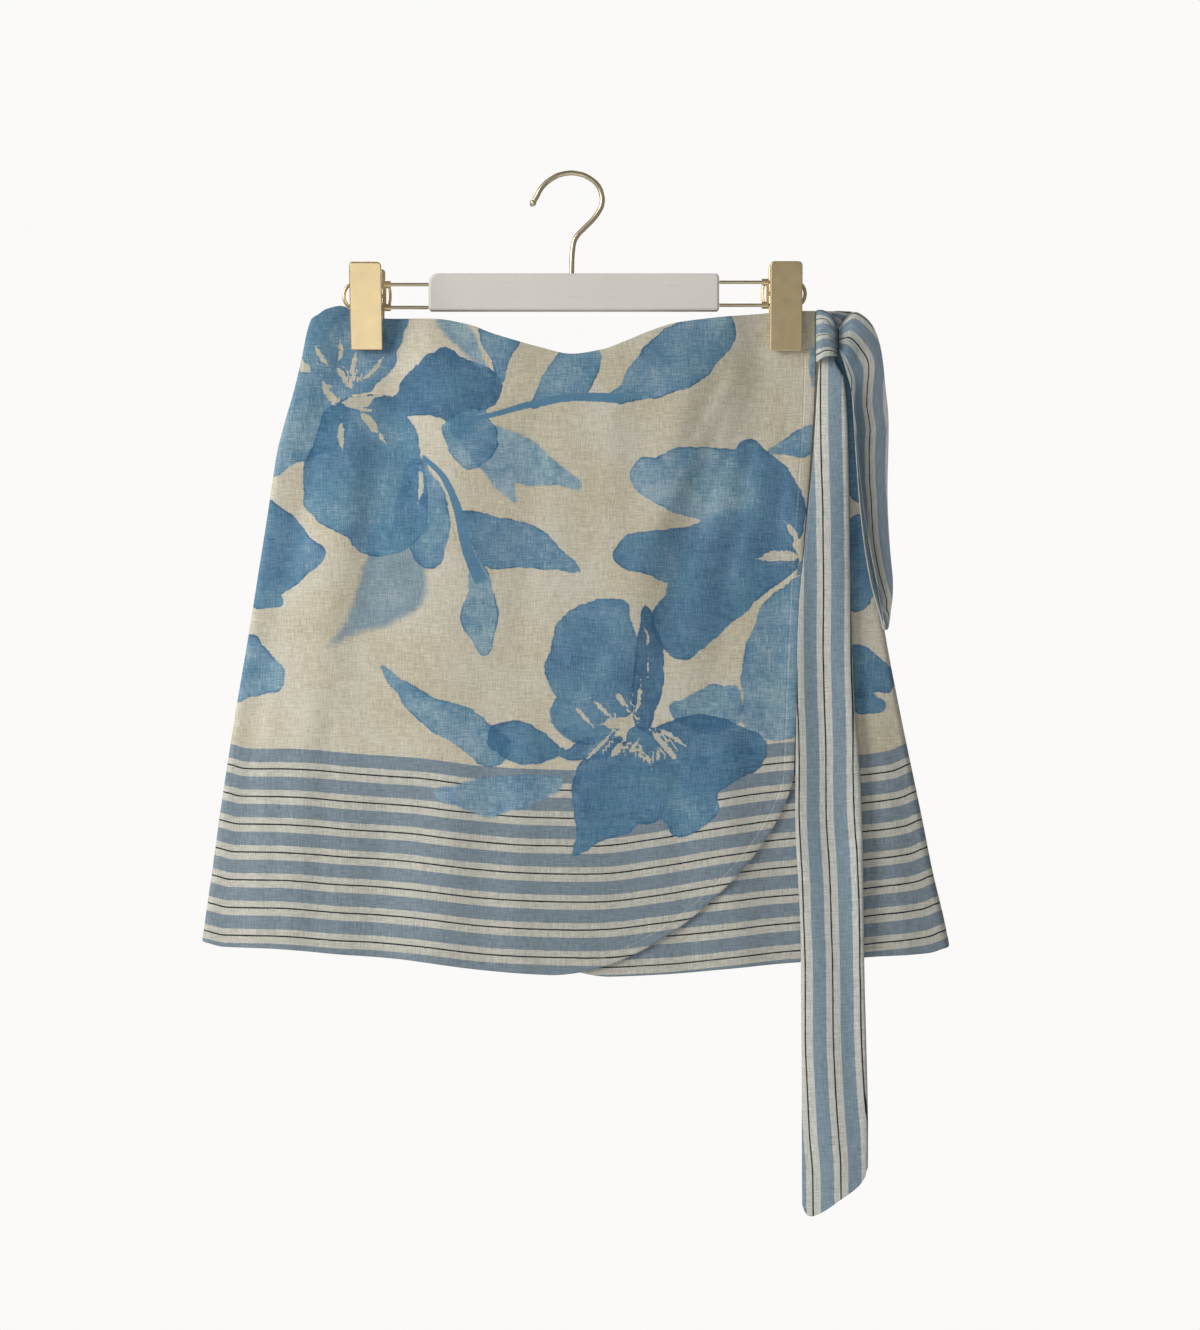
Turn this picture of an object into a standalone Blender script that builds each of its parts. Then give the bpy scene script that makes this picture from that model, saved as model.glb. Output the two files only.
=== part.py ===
"""A linen wrap skirt on a clip hanger.

Frame: +X to the wearer's left, +Y to the back, +Z up. The origin is the highest point of the hook's inside,
where a rail carries it. Tables and named sizes are in millimetres; meshes are written in metres.
"""

import math

import bmesh
import bpy
import numpy as np

MM = 0.001

# Cloth
WALL = 1.2  # a panel's wall
TIE_WALL = 1.4  # the tie is a stitched double strap
SEAM_GAP = 0.3  # between two pieces that are sewn together
NORMAL_STEP = 0.0008  # the share of the skirt over which a wall's slope is taken
OVERLAP_LIFT = 2.3  # the over panel's wall centre lies this far outside the under panel's
LIFT_RUN = 55.0  # the over panel gains that lift over this distance from its side seam

# The skirt, hanging
FOLD_SHARE = 0.009  # side fold radius, as a share of the skirt's width
FOLD_FREE = 28.0  # folds, bulge and pinch start this far from a side fold
FOLD_SPREAD = 0.5  # how much wider a fold is at its end
WAIST_BULGE = 6.0
HEM_BULGE = 19.0
HEM_SIDE = -520.0  # the hem's height beside the side folds, below which only the tie goes on
PINCH_GAP = 0.75  # half the distance between the front and back wall centres inside a clip
PINCH_HALF_WIDTH = 12.0
PINCH_RUN = 34.0  # across, from the clip's edge to full depth
PINCH_FLOOR = -124.0  # the cloth stays pinched down to here
PINCH_FADE = 120.0  # and is at full depth this much lower

# The tie
TAIL_TURN_RADIUS = 1.4  # of the tail's turned edge, at the wall's centre
TAIL_CLEAR = 1.7  # from the skirt's outermost wall centre to the tail's
TAIL_TOP = -119.5
TAIL_TOP_Y = -8.6  # inside the knot
TAIL_SWAY = 0.8
TAIL_HOLD = (6.0, 36.0)  # this far below its top it leaves the knot, and this run later it rests on the skirt
TAIL_FLAT_STEPS, TAIL_TURN_STEPS = 7, 5

# The hanger
HOOK_WIRE = 1.75  # radius
HOOK_BALL_RUN = (0.9, 2.4, 3.6)  # past the wire's end
HOOK_BALL_RADII = (2.2, 2.3, 1.1)
HOOK_STEPS = 38
BAR_LEFT, BAR_RIGHT = -96.6, 100.6
BAR_TOP, BAR_BOTTOM = -67.0, -92.3
BAR_DEPTH = 12.0
BAR_ROUND = 1.6
BAR_CORNERS = (6.5, 3.0, 2.0, 2.0)  # radii, clockwise from the top left
BAR_CORNER_STEPS = 5
LOOP_WIRE = 1.2
LOOP_HALF_HEIGHT = 7.8
LOOP_END_SHARE = 0.75  # how round a wire loop's end is
LOOP_END_STEPS = 12
FIT_GAP = 0.3

# The clips
CLIP_WIDTH = 21.8
CLIP_LENGTH = 60.5
CLIP_PLATE = 3.2
CLIP_ROUND = 0.7
CLIP_CORNERS = (2.6, 2.6, 1.2, 1.2)
CLIP_CORNER_STEPS = 3
PAD_DEPTH = 1.7  # of the lip that presses the cloth, from the plate's middle
PAD_HALF_WIDTH = 9.4
PAD_LOW, PAD_HIGH = 2.0, 10.0  # above the clip's foot
EAR_HALF_HEIGHT = 4.6
EAR_THICK = 1.4
EAR_REACH = 3.6  # past the pin
EAR_INSET = {"front": 8.7, "back": 7.0}  # the front arm's ears clasp the back arm's
PIN_RADIUS = 1.3
SPRING_RADIUS = 4.4
SPRING_HALF_LENGTH = 6.6
CHEEK_AWAY = 12.2  # from the clip's middle to the slide's cheek
CHEEK_HALF_THICK = 0.7
CHEEK_HALF_DEPTH = 1.9
SLEEVE_RADIUS = 2.5
SLEEVE_LENGTH = 3.8
BAIL_WIRE = 0.95
BAIL_AWAY = 2.4
BAIL_BOW = 1.0

SILHOUETTE_COLUMNS = "z left right"
SILHOUETTE = (
    (-90, -173.5, 182.6),
    (-105, -178.8, 186.8),
    (-125, -182.9, 190.4),
    (-146, -187.9, 193.4),
    (-167, -194.0, 195.8),
    (-187, -199.2, 197.8),
    (-227, -205.4, 201.8),
    (-268, -211.8, 206.8),
    (-309, -218.3, 212.8),
    (-370, -228.5, 224.4),
    (-432, -238.0, 237.3),
    (-473, -243.6, 245.5),
    (-514, -249.4, 255.0),
    (-530, -251.0, 257.5),
)
WAIST_COLUMNS = "across z"
WAIST = (
    (0.000, -98.0),
    (0.010, -94.9),
    (0.020, -91.4),
    (0.048, -88.9),
    (0.076, -92.8),
    (0.141, -97.6),
    (0.232, -98.4),
    (0.299, -102.4),
    (0.344, -108.3),
    (0.390, -113.4),
    (0.435, -118.0),
    (0.490, -122.3),
    (0.547, -119.3),
    (0.592, -113.2),
    (0.637, -106.5),
    (0.682, -101.4),
    (0.728, -98.9),
    (0.818, -95.4),
    (0.928, -92.4),
    (0.980, -92.6),
    (1.000, -94.4),
)
HEM_COLUMNS = "across z"
HEM = (
    (0.00, -520.5),
    (0.03, -524.0),
    (0.09, -524.6),
    (0.19, -528.6),
    (0.27, -531.5),
    (0.38, -538.5),
    (0.46, -541.5),
    (0.54, -543.0),
    (0.62, -541.5),
    (0.70, -538.0),
    (0.78, -534.3),
    (0.89, -530.8),
    (0.97, -528.4),
    (1.00, -524.0),
)
# Soft folds of the hanging cloth. depth is outward, so a trough is below zero.
FOLD_COLUMNS = "x_top z_top x_end z_end half_width depth"
FRONT_FOLDS = (
    (-112, -92, -150, -330, 13, -2.4),
    (-140, -128, -196, -560, 16, 2.6),
    (-162, -90, -226, -420, 9, -1.8),
    (-60, -112, -96, -420, 20, 1.8),
    (112, -94, 60, -330, 12, -2.6),
    (88, -100, 30, -350, 13, 2.0),
    (134, -122, 96, -360, 10, -2.2),
    (150, -124, 168, -560, 11, 2.2),
    (176, -120, 214, -560, 9, -1.6),
    (-75, -380, -92, -560, 15, 2.8),
    (-122, -400, -136, -560, 14, -2.6),
    (40, -380, 44, -560, 24, -2.2),
)
BACK_FOLDS = (
    (-108, -94, -128, -340, 14, -2.4),
    (-150, -120, -205, -560, 15, 2.8),
    (-52, -112, -70, -560, 22, 2.6),
    (6, -124, 10, -400, 20, -1.8),
    (62, -106, 84, -560, 20, 2.8),
    (110, -96, 132, -360, 13, -2.4),
    (152, -122, 190, -560, 15, 3.0),
    (-14, -400, -18, -560, 20, -2.6),
)

# The over panel's free edge, then its rounded corner above the hem
WRAP_EDGE_COLUMNS = "z x"
WRAP_EDGE = (
    (-90, 166.6),
    (-130, 166.4),
    (-165, 165.0),
    (-210, 161.2),
    (-262, 157.0),
    (-340, 154.0),
    (-418, 151.0),
    (-545, 149.0),
)
PANEL_TOP, PANEL_FOOT = -95.0, -537.0  # the heights that a free edge's table is read between
CORNER_HEIGHT = 128.0
CORNER_RUN = 163.0
CORNER_POWER = 1.6
CORNER_DROP = 440.0  # from the waist to the hem, where the corner is laid out
# The under panel mirrors it, hidden behind the over panel
UNDER_EDGE_COLUMNS = "z x"
UNDER_EDGE = (
    (-90, -117.0),
    (-262, -126.0),
    (-418, -134.0),
    (-545, -138.0),
)

# The tail of the tie: its two visible edges, and how much of its right side is turned behind
TAIL_COLUMNS = "z left right turned"
TAIL = (
    (-118, 169.6, 178.4, 7.0),
    (-127, 168.6, 179.4, 8.0),
    (-133, 167.4, 182.6, 10.0),
    (-139, 166.8, 185.2, 11.0),
    (-166, 165.2, 187.4, 12.0),
    (-187, 163.8, 188.1, 12.0),
    (-221, 160.4, 188.7, 12.0),
    (-262, 156.3, 189.2, 11.0),
    (-289, 153.8, 189.5, 9.5),
    (-316, 152.6, 190.2, 8.5),
    (-361, 151.9, 191.6, 7.0),
    (-398, 151.2, 194.4, 5.0),
    (-434, 151.0, 196.6, 4.0),
    (-472, 152.8, 197.4, 3.6),
    (-507, 154.4, 197.8, 3.4),
    (-560, 154.8, 198.6, 3.0),
    (-596, 155.2, 199.6, 2.4),
    (-660, 155.4, 200.9, 2.0),
    (-710, 155.8, 200.7, 1.8),
)
TAIL_END_COLUMNS = "across z"
TAIL_END = (
    (0.00, -697.0),
    (0.06, -703.5),
    (0.14, -705.0),
    (0.28, -703.0),
    (0.60, -694.0),
    (0.88, -684.5),
    (0.96, -680.0),
    (1.00, -675.0),
)

# The loop of the bow: the strap's inner and outer edge, from the knot over the hip, down, and back up behind
LOOP_COLUMNS = "ix iy iz ox oy oz"
LOOP = (
    (182.1, -9.6, -121.0, 181.9, -8.6, -103.6),
    (184.0, -12.0, -126.0, 186.5, -9.8, -98.0),
    (185.4, -13.8, -130.5, 192.4, -9.2, -93.6),
    (186.6, -15.2, -136.0, 200.6, -7.4, -98.0),
    (188.4, -17.0, -143.0, 207.1, -4.4, -107.5),
    (189.8, -18.6, -151.0, 211.0, -1.2, -121.0),
    (191.2, -19.8, -163.0, 213.8, 2.2, -143.0),
    (192.6, -20.8, -181.0, 216.2, 4.6, -172.0),
    (196.0, -22.0, -216.0, 215.4, 5.0, -214.0),
    (201.0, -22.5, -250.0, 216.6, 3.0, -250.0),
    (206.6, -22.0, -279.0, 218.4, -1.0, -276.0),
    (208.6, -20.5, -291.0, 217.9, -3.5, -287.0),
    (210.3, -18.0, -299.0, 216.4, -5.0, -295.5),
    (211.6, -14.5, -308.4, 214.2, -7.5, -306.4),
    (210.0, -12.5, -302.0, 214.4, -4.0, -299.0),
    (207.0, -13.0, -292.0, 214.6, -0.5, -288.0),
    (203.0, -14.6, -278.0, 214.2, 2.5, -275.0),
    (198.0, -15.4, -249.0, 212.8, 5.0, -249.0),
    (194.4, -15.0, -214.0, 210.8, 6.5, -213.0),
    (192.2, -14.2, -181.0, 210.2, 6.5, -170.0),
    (190.4, -12.4, -152.0, 208.0, 5.0, -134.0),
    (188.4, -10.0, -136.0, 203.6, 2.4, -109.0),
    (186.4, -8.0, -127.0, 196.0, -1.6, -94.6),
    (184.8, -7.0, -121.0, 188.4, -4.6, -92.8),
    (182.6, -7.4, -108.0, 181.6, -7.4, -92.8),
    (178.4, -8.6, -102.0, 176.2, -9.0, -93.4),
)
LOOP_FOOT = 13  # the row where it turns back up
LOOP_CUP = 2.0  # the front run bows outward between its edges
LOOP_CUP_BEHIND = 0.6  # and the run behind by this much

# The knot: the strap's root, in plan, from the over panel's edge round to the right
KNOT_COLUMNS = "x y top bottom"
KNOT = (
    (166.7, -4.0, -92.8, -127.0),
    (166.8, -8.2, -92.6, -127.4),
    (167.4, -12.0, -92.6, -127.2),
    (169.8, -14.6, -92.8, -125.6),
    (173.6, -15.2, -94.6, -124.2),
    (177.2, -14.2, -99.4, -123.9),
    (179.6, -11.4, -105.4, -124.2),
    (180.4, -7.8, -109.0, -123.6),
)
KNOT_PLEATS = 3
KNOT_PLEAT_DEPTH = 0.9
KNOT_PLEAT_ROWS = (2.2, 6.2)  # the pleats run between these places in the table

# The hook's centre line, from its tip over the crest to the bar
HOOK_COLUMNS = "x z"
HOOK = (
    (-25.0, -17.2),
    (-23.1, -13.9),
    (-21.8, -11.2),
    (-20.1, -8.5),
    (-17.7, -5.8),
    (-13.6, -2.6),
    (-7.5, 0.5),
    (0.0, 1.75),
    (7.5, 0.6),
    (14.0, -2.7),
    (17.6, -5.8),
    (20.1, -10.2),
    (21.4, -16.7),
    (20.8, -20.4),
    (18.7, -24.8),
    (14.6, -30.3),
    (9.2, -35.7),
    (4.1, -41.1),
    (2.2, -44.6),
    (1.3, -49.3),
    (0.7, -56.0),
    (0.4, -66.7),
)
# Where each clip sits. tilt is how far its arms lean from upright, and inward is the way towards the bar.
SIDE_COLUMNS = "clip_x clip_z tilt loop_z loop_end inward"
SIDES = {
    "left": dict(zip(SIDE_COLUMNS.split(), (-138.4, -90.3, 18.0, -82.0, -154.4, 1))),
    "right": dict(zip(SIDE_COLUMNS.split(), (145.8, -89.8, 6.0, -80.4, 159.2, -1))),
}


# ---------------------------------------------------------------- small helpers


def table(columns, rows):
    """The rows' columns by name, as arrays."""
    return dict(zip(columns.split(), np.array(rows, float).T))


def smooth(x, xs, ys):
    """A cubic curve through the points (xs, ys) that never overshoots them. xs may fall or rise."""
    if xs[0] > xs[-1]:
        xs, ys = xs[::-1], ys[::-1]
    x = np.clip(x, xs[0], xs[-1])
    step = np.diff(xs)
    slope = np.diff(ys) / step
    same_way = slope[1:] * slope[:-1] > 0
    total = np.where(same_way, slope[1:] + slope[:-1], 1)
    middle = np.where(same_way, 2 * slope[1:] * slope[:-1] / total, 0)
    tangent = np.concatenate([slope[:1], middle, slope[-1:]])
    k = np.clip(np.searchsorted(xs, x, side="right") - 1, 0, len(step) - 1)
    t = (x - xs[k]) / step[k]
    return (
        ys[k] * (1 + 2 * t) * (1 - t) ** 2
        + ys[k + 1] * t * t * (3 - 2 * t)
        + step[k] * (tangent[k] * t * (1 - t) ** 2 + tangent[k + 1] * t * t * (t - 1))
    )


def ramp(x):
    """0 below 0, 1 above 1, and a smooth step between."""
    x = np.clip(x, 0, 1)
    return x * x * (3 - 2 * x)


def unit(v):
    return v / np.linalg.norm(v, axis=-1, keepdims=True)


OUTLINE = table(SILHOUETTE_COLUMNS, SILHOUETTE)
WAIST_LINE = table(WAIST_COLUMNS, WAIST)
HEM_LINE = table(HEM_COLUMNS, HEM)
WRAP = table(WRAP_EDGE_COLUMNS, WRAP_EDGE)
FOLDS = {side: table(FOLD_COLUMNS, rows) for side, rows in (("front", FRONT_FOLDS), ("back", BACK_FOLDS))}


# ---------------------------------------------------------------- the hanging cloth


def folds(side, x, z):
    """How far the soft folds move a wall outward at (x, z)."""
    moved = np.zeros_like(x)
    for x_top, z_top, x_end, z_end, half_width, depth in zip(*FOLDS[side].values()):
        down = (z_top - z) / (z_top - z_end)
        centre = x_top + (x_end - x_top) * down
        spread = half_width * (1 + FOLD_SPREAD * np.clip(down, 0, 1))
        along = ramp(down / 0.3) * ramp((1.25 - down) / 0.45)
        moved += depth * along * np.exp(-(((x - centre) / spread) ** 2))
    return moved


def pinch(x, z):
    """1 where a clip holds the walls together, falling to 0 away from it."""
    held = np.zeros_like(x)
    for clip in SIDES.values():
        fall = np.clip((PINCH_FLOOR - z) / PINCH_FADE, 0, 1)
        free = np.abs(x - clip["clip_x"]) - PINCH_HALF_WIDTH * (1 - 0.5 * fall)
        away = free / (PINCH_RUN * (1 + fall))
        held = np.maximum(held, (1 - ramp(away)) * (1 - ramp(fall)))
    return held


def cloth(side, across, down):
    """The wall's centre, in millimetres. across runs 0 to 1 from the left side fold to the right one, and
    down runs 0 to 1 from the waist to the hem. Beyond 0 or 1 it goes on round the fold."""
    z = smooth(across, WAIST_LINE["across"], WAIST_LINE["z"]) * (1 - down)
    z = z + smooth(across, HEM_LINE["across"], HEM_LINE["z"]) * down
    left = smooth(z, OUTLINE["z"], OUTLINE["left"])
    width = smooth(z, OUTLINE["z"], OUTLINE["right"]) - left
    nearest = np.minimum(across, 1 - across)
    turn = np.minimum(nearest / FOLD_SHARE, 1) * math.pi / 2
    edge = FOLD_SHARE * (1 - np.cos(turn))
    share = np.where(nearest < FOLD_SHARE, edge, nearest)
    share = np.where(across > 0.5, 1 - share, share)
    x = left + width * share
    bulge = WAIST_BULGE + (HEM_BULGE - WAIST_BULGE) * np.clip(down, 0, 1) ** 0.8
    body = np.sin(math.pi * np.clip(share, 0, 1))
    inside = ramp(nearest * width / FOLD_FREE)
    depth = FOLD_SHARE * width * np.sin(turn) + bulge * body + folds(side, x, z) * inside
    held = pinch(x, z) * inside
    depth = depth * (1 - held) + (PINCH_GAP - SEAM_GAP / 2) * held
    y = SEAM_GAP / 2 + depth
    return np.stack([x, -y if side == "front" else y, z], axis=-1)


def outward(side, across, down):
    """The wall's unit normal, away from the hollow."""
    e = NORMAL_STEP
    along = cloth(side, across + e, down) - cloth(side, across - e, down)
    below = cloth(side, across, down + e) - cloth(side, across, down - e)
    return unit(np.cross(along, below)) * (1 if side == "back" else -1)


def share_of(x, z):
    """The across value of a point x on the line at height z."""
    left = smooth(z, OUTLINE["z"], OUTLINE["left"])
    right = smooth(z, OUTLINE["z"], OUTLINE["right"])
    return (x - left) / (right - left)


def edge_share(edge, direction, down):
    """The across value of a front panel's free edge at each down value, rounded corner included. direction is
    1 where the panel lies to the left of the edge, and -1 where it lies to the right."""
    z = PANEL_TOP + down * (PANEL_FOOT - PANEL_TOP)
    straight = smooth(z, edge["z"], edge["x"])
    height = np.clip((1 - down) * CORNER_DROP, 0, CORNER_HEIGHT)
    rest = np.clip(1 - height / CORNER_HEIGHT, 0, 1)
    inset = CORNER_RUN * (1 - np.clip(1 - rest**CORNER_POWER, 0, 1) ** (1 / CORNER_POWER))
    return share_of(straight - direction * inset, z)


# ---------------------------------------------------------------- meshes


def new_object(name, vertices, faces, look):
    """An object in metres from vertices in millimetres, with its faces turned outward."""
    mesh = bpy.data.meshes.new(name)
    mesh.from_pydata([tuple(v) for v in np.asarray(vertices, float) * MM], [], faces)
    work = bmesh.new()
    work.from_mesh(mesh)
    bmesh.ops.recalc_face_normals(work, faces=work.faces)
    work.to_mesh(mesh)
    work.free()
    obj = bpy.data.objects.new(name, mesh)
    bpy.context.scene.collection.objects.link(obj)
    obj.data.materials.append(material(look))
    mesh.shade_smooth()
    mesh.set_sharp_from_angle(angle=math.radians(40))
    return obj


def wall(name, centre, normal, thickness, look):
    """A closed wall of that thickness about a grid of centre points."""
    rows, columns = centre.shape[:2]
    outer = (centre + normal * thickness / 2).reshape(-1, 3)
    inner = (centre - normal * thickness / 2).reshape(-1, 3)
    count = rows * columns
    at = np.arange(count).reshape(rows, columns)
    faces = []
    for i in range(rows - 1):
        for j in range(columns - 1):
            quad = (at[i, j], at[i, j + 1], at[i + 1, j + 1], at[i + 1, j])
            faces.append(tuple(int(q) for q in quad))
            faces.append(tuple(int(q) + count for q in reversed(quad)))
    rim = [*at[0, :], *at[1:, -1], *at[-1, -2::-1], *at[-2:0:-1, 0]]
    for a, b in zip(rim, rim[1:] + rim[:1]):
        faces.append((int(b), int(a), int(a) + count, int(b) + count))
    return new_object(name, np.concatenate([outer, inner]), faces, look)


def grid_normals(centre):
    """Unit normals of a grid of points, from its neighbours."""
    return unit(np.cross(np.gradient(centre, axis=1), np.gradient(centre, axis=0)))


def tube(name, path, radii, sides, look):
    """A round rod along a path of points, with a radius at each and flat ends."""
    path = np.asarray(path, float)
    direction = unit(np.gradient(path, axis=0))
    across = unit(np.cross(direction[0], (0, 1, 0) if abs(direction[0][1]) < 0.9 else (1, 0, 0)))
    vertices = []
    for point, ahead, radius in zip(path, direction, radii):
        across = unit(across - ahead * np.dot(across, ahead))
        other = np.cross(ahead, across)
        for k in range(sides):
            a = 2 * math.pi * k / sides
            vertices.append(point + radius * (math.cos(a) * across + math.sin(a) * other))
    faces = []
    for i in range(len(path) - 1):
        for k in range(sides):
            n = (k + 1) % sides
            faces.append((i * sides + k, i * sides + n, (i + 1) * sides + n, (i + 1) * sides + k))
    faces.append(tuple(range(sides)))
    faces.append(tuple((len(path) - 1) * sides + k for k in range(sides)))
    return new_object(name, vertices, faces, look)


def slab(name, outline, near, far, look, tilt=0.0):
    """An outline in X and Z given depth from near to far in Y, leaning tilt degrees about its middle."""
    n = len(outline)
    vertices = np.array([(x, y, z) for y in (near, far) for x, z in outline], float)
    middle = (vertices.min(axis=0) + vertices.max(axis=0)) / 2
    c, s = math.cos(math.radians(tilt)), math.sin(math.radians(tilt))
    x, y, z = (vertices - middle).T
    vertices = np.stack([x, y * c - z * s, y * s + z * c], axis=1) + middle
    faces = [tuple(range(n)), tuple(range(2 * n - 1, n - 1, -1))]
    faces += [(k, (k + 1) % n, n + (k + 1) % n, n + k) for k in range(n)]
    return new_object(name, vertices, faces, look)


def box(name, low, high, look):
    """A block between two corners."""
    outline = [(low[0], high[2]), (high[0], high[2]), (high[0], low[2]), (low[0], low[2])]
    return slab(name, outline, low[1], high[1], look)


def rounded(low, high, radii, steps):
    """The outline of a round-cornered rectangle, clockwise from the top left. low and high are (x, z)."""
    corners = ((low[0], high[1]), (high[0], high[1]), (high[0], low[1]), (low[0], low[1]))
    outline = []
    for turn, ((x, z), radius) in enumerate(zip(corners, radii)):
        centre_x = x + radius if x == low[0] else x - radius
        centre_z = z + radius if z == low[1] else z - radius
        for k in range(steps + 1):
            a = math.radians(180 - 90 * turn - 90 * k / steps)
            outline.append((centre_x + radius * math.cos(a), centre_z + radius * math.sin(a)))
    return outline


def boolean(obj, operation, other):
    """Adds a Boolean with a helper object, which isn't part of the model."""
    other.hide_render = True
    other.display_type = "WIRE"
    modifier = obj.modifiers.new(operation.title(), "BOOLEAN")
    modifier.operation = operation
    modifier.solver = "EXACT"
    modifier.object = other


def bevel(obj, width, segments=2):
    modifier = obj.modifiers.new("Bevel", "BEVEL")
    modifier.width = width * MM
    modifier.segments = segments
    modifier.limit_method = "ANGLE"
    modifier.angle_limit = math.radians(40)


LOOKS = {
    "print_linen": ((0.72, 0.68, 0.58), 0.85, 0.0),
    "stripe_linen": ((0.36, 0.47, 0.62), 0.85, 0.0),
    "painted_wood": ((0.78, 0.76, 0.74), 0.45, 0.0),
    "gold_metal": ((0.76, 0.62, 0.36), 0.3, 1.0),
}


def material(name):
    found = bpy.data.materials.get(name)
    if found:
        return found
    colour, roughness, metallic = LOOKS[name]
    made = bpy.data.materials.new(name)
    made.use_nodes = True
    shader = made.node_tree.nodes["Principled BSDF"]
    shader.inputs["Base Color"].default_value = (*colour, 1)
    shader.inputs["Roughness"].default_value = roughness
    shader.inputs["Metallic"].default_value = metallic
    return made


# ---------------------------------------------------------------- the skirt's panels


def fold_columns(inner_columns):
    """Across values from one side fold to the other, closer together round the folds."""
    turn = FOLD_SHARE * np.array([0, 1 / 3, 2 / 3, 1])
    inner = np.linspace(FOLD_SHARE, 1 - FOLD_SHARE, inner_columns)
    return np.concatenate([turn[:-1], inner, 1 - turn[-2::-1]])


def back_panel():
    across, down = np.meshgrid(fold_columns(38), np.linspace(0, 1, 19))
    wall("back_panel", cloth("back", across, down), outward("back", across, down), WALL, "print_linen")


def corner_rows(straight_rows, corner_count):
    """Down values that crowd towards the hem, where a rounded corner runs out along it."""
    start = 1 - CORNER_HEIGHT / CORNER_DROP
    turn = np.linspace(0, math.pi / 2, corner_count + 1)
    return np.concatenate([np.linspace(0, start, straight_rows), start + (1 - start) * np.sin(turn[1:])])


def over_panel():
    """The left front, on top: from the left side seam to the wrap edge."""
    rows = corner_rows(13, 8)
    edge = edge_share(WRAP, 1, rows)
    turn = FOLD_SHARE * np.array([0, 1 / 3, 2 / 3])
    across = np.array([np.concatenate([turn, np.linspace(FOLD_SHARE, e, 33)]) for e in edge])
    down = np.repeat(rows[:, None], across.shape[1], axis=1)
    centre, normal = cloth("front", across, down), outward("front", across, down)
    lift = OVERLAP_LIFT * ramp((centre[..., 0] - centre[:, :1, 0]) / LIFT_RUN)
    wall("over_panel", centre + normal * lift[..., None], normal, WALL, "print_linen")


def under_panel():
    """The right front, beneath: from its hidden edge to the right side seam."""
    rows = corner_rows(12, 7)
    edge = edge_share(table(UNDER_EDGE_COLUMNS, UNDER_EDGE), -1, rows)
    turn = 1 - FOLD_SHARE * np.array([2 / 3, 1 / 3, 0])
    across = np.array([np.concatenate([np.linspace(e, 1 - FOLD_SHARE, 30), turn]) for e in edge])
    down = np.repeat(rows[:, None], across.shape[1], axis=1)
    wall("under_panel", cloth("front", across, down), outward("front", across, down), WALL, "print_linen")


# ---------------------------------------------------------------- the tie


def front_y(x, z):
    """The Y of the front's wall centre at (x, z); below the hem it keeps the hem's."""
    across = share_of(x, np.maximum(z, HEM_SIDE))
    waist = smooth(across, WAIST_LINE["across"], WAIST_LINE["z"])
    hem = smooth(across, HEM_LINE["across"], HEM_LINE["z"])
    down = np.clip((z - waist) / (hem - waist), 0, 1)
    return cloth("front", across, down)[..., 1]


def tail_section(width, turned):
    """Offsets (x, back) across the tail: flat in front, then turned behind at its right edge."""
    radius = TAIL_TURN_RADIUS
    angle = min(math.pi, turned / radius)
    flap = max(0.3, turned - radius * angle)
    flat = width - radius * math.sin(min(angle, math.pi / 2))
    points = [(flat * k / TAIL_FLAT_STEPS, 0.0) for k in range(TAIL_FLAT_STEPS + 1)]
    for k in range(1, TAIL_TURN_STEPS + 1):
        a = angle * k / TAIL_TURN_STEPS
        points.append((flat + radius * math.sin(a), radius * (1 - math.cos(a))))
    end = points[-1]
    for k in (1, 2):
        points.append((end[0] + flap * k / 2 * math.cos(angle), end[1] + flap * k / 2 * math.sin(angle)))
    return np.array(points)


def skirt_front(x, z):
    """The Y of the outermost wall's centre at (x, z)."""
    edge = smooth(z, WRAP["z"], WRAP["x"])
    return front_y(x, z) - np.where(x < edge + 2.0, OVERLAP_LIFT, 0.0)


def tail_rest(left, right, z):
    """The Y at the tail's left and right edge, where it leans on the skirt."""
    x = np.linspace(left, right, 9)
    surface = skirt_front(x, np.full(9, z)) - TAIL_CLEAR
    surface = surface - 2 * TAIL_TURN_RADIUS * ramp((x - left) / (right - left))
    chord = surface[0] + (surface[-1] - surface[0]) * np.linspace(0, 1, 9)
    proud = max(0.0, float((chord - surface).max()))
    return surface[0] - proud, surface[-1] - proud


def tie_tail():
    rows = table(TAIL_COLUMNS, TAIL)
    ends = table(TAIL_END_COLUMNS, TAIL_END)
    levels = np.concatenate([np.linspace(0, 0.1, 6), np.linspace(0.1, 1, 24)[1:]])
    count = TAIL_FLAT_STEPS + TAIL_TURN_STEPS + 3
    share = np.minimum(np.arange(count) / TAIL_FLAT_STEPS, 1.0)
    bottom = smooth(share, ends["across"], ends["z"])
    centre = np.zeros((len(levels), len(share), 3))
    for i, level in enumerate(levels):
        z = TAIL_TOP + (bottom - TAIL_TOP) * level
        middle = float(z.mean())
        left, right, turned = (float(smooth(middle, rows["z"], rows[c])) for c in ("left", "right", "turned"))
        left, right = left + TIE_WALL / 2, right - TIE_WALL / 2
        offsets = tail_section(right - left, turned)
        x = left + offsets[:, 0]
        y_left, y_right = tail_rest(left, right, middle)
        held = 1 - ramp((TAIL_TOP - TAIL_HOLD[0] - middle) / TAIL_HOLD[1])
        y = y_left + (y_right - y_left) * (x - left) / (right - left)
        sway = TAIL_SWAY * np.sin(x * 0.15 + middle * 0.014) * (1 - held)
        y = (y + sway - TAIL_SWAY) * (1 - held) + TAIL_TOP_Y * held + offsets[:, 1]
        centre[i] = np.stack([x, y, z], axis=1)
    wall("tie_tail", centre, grid_normals(centre), TIE_WALL, "stripe_linen")


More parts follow.
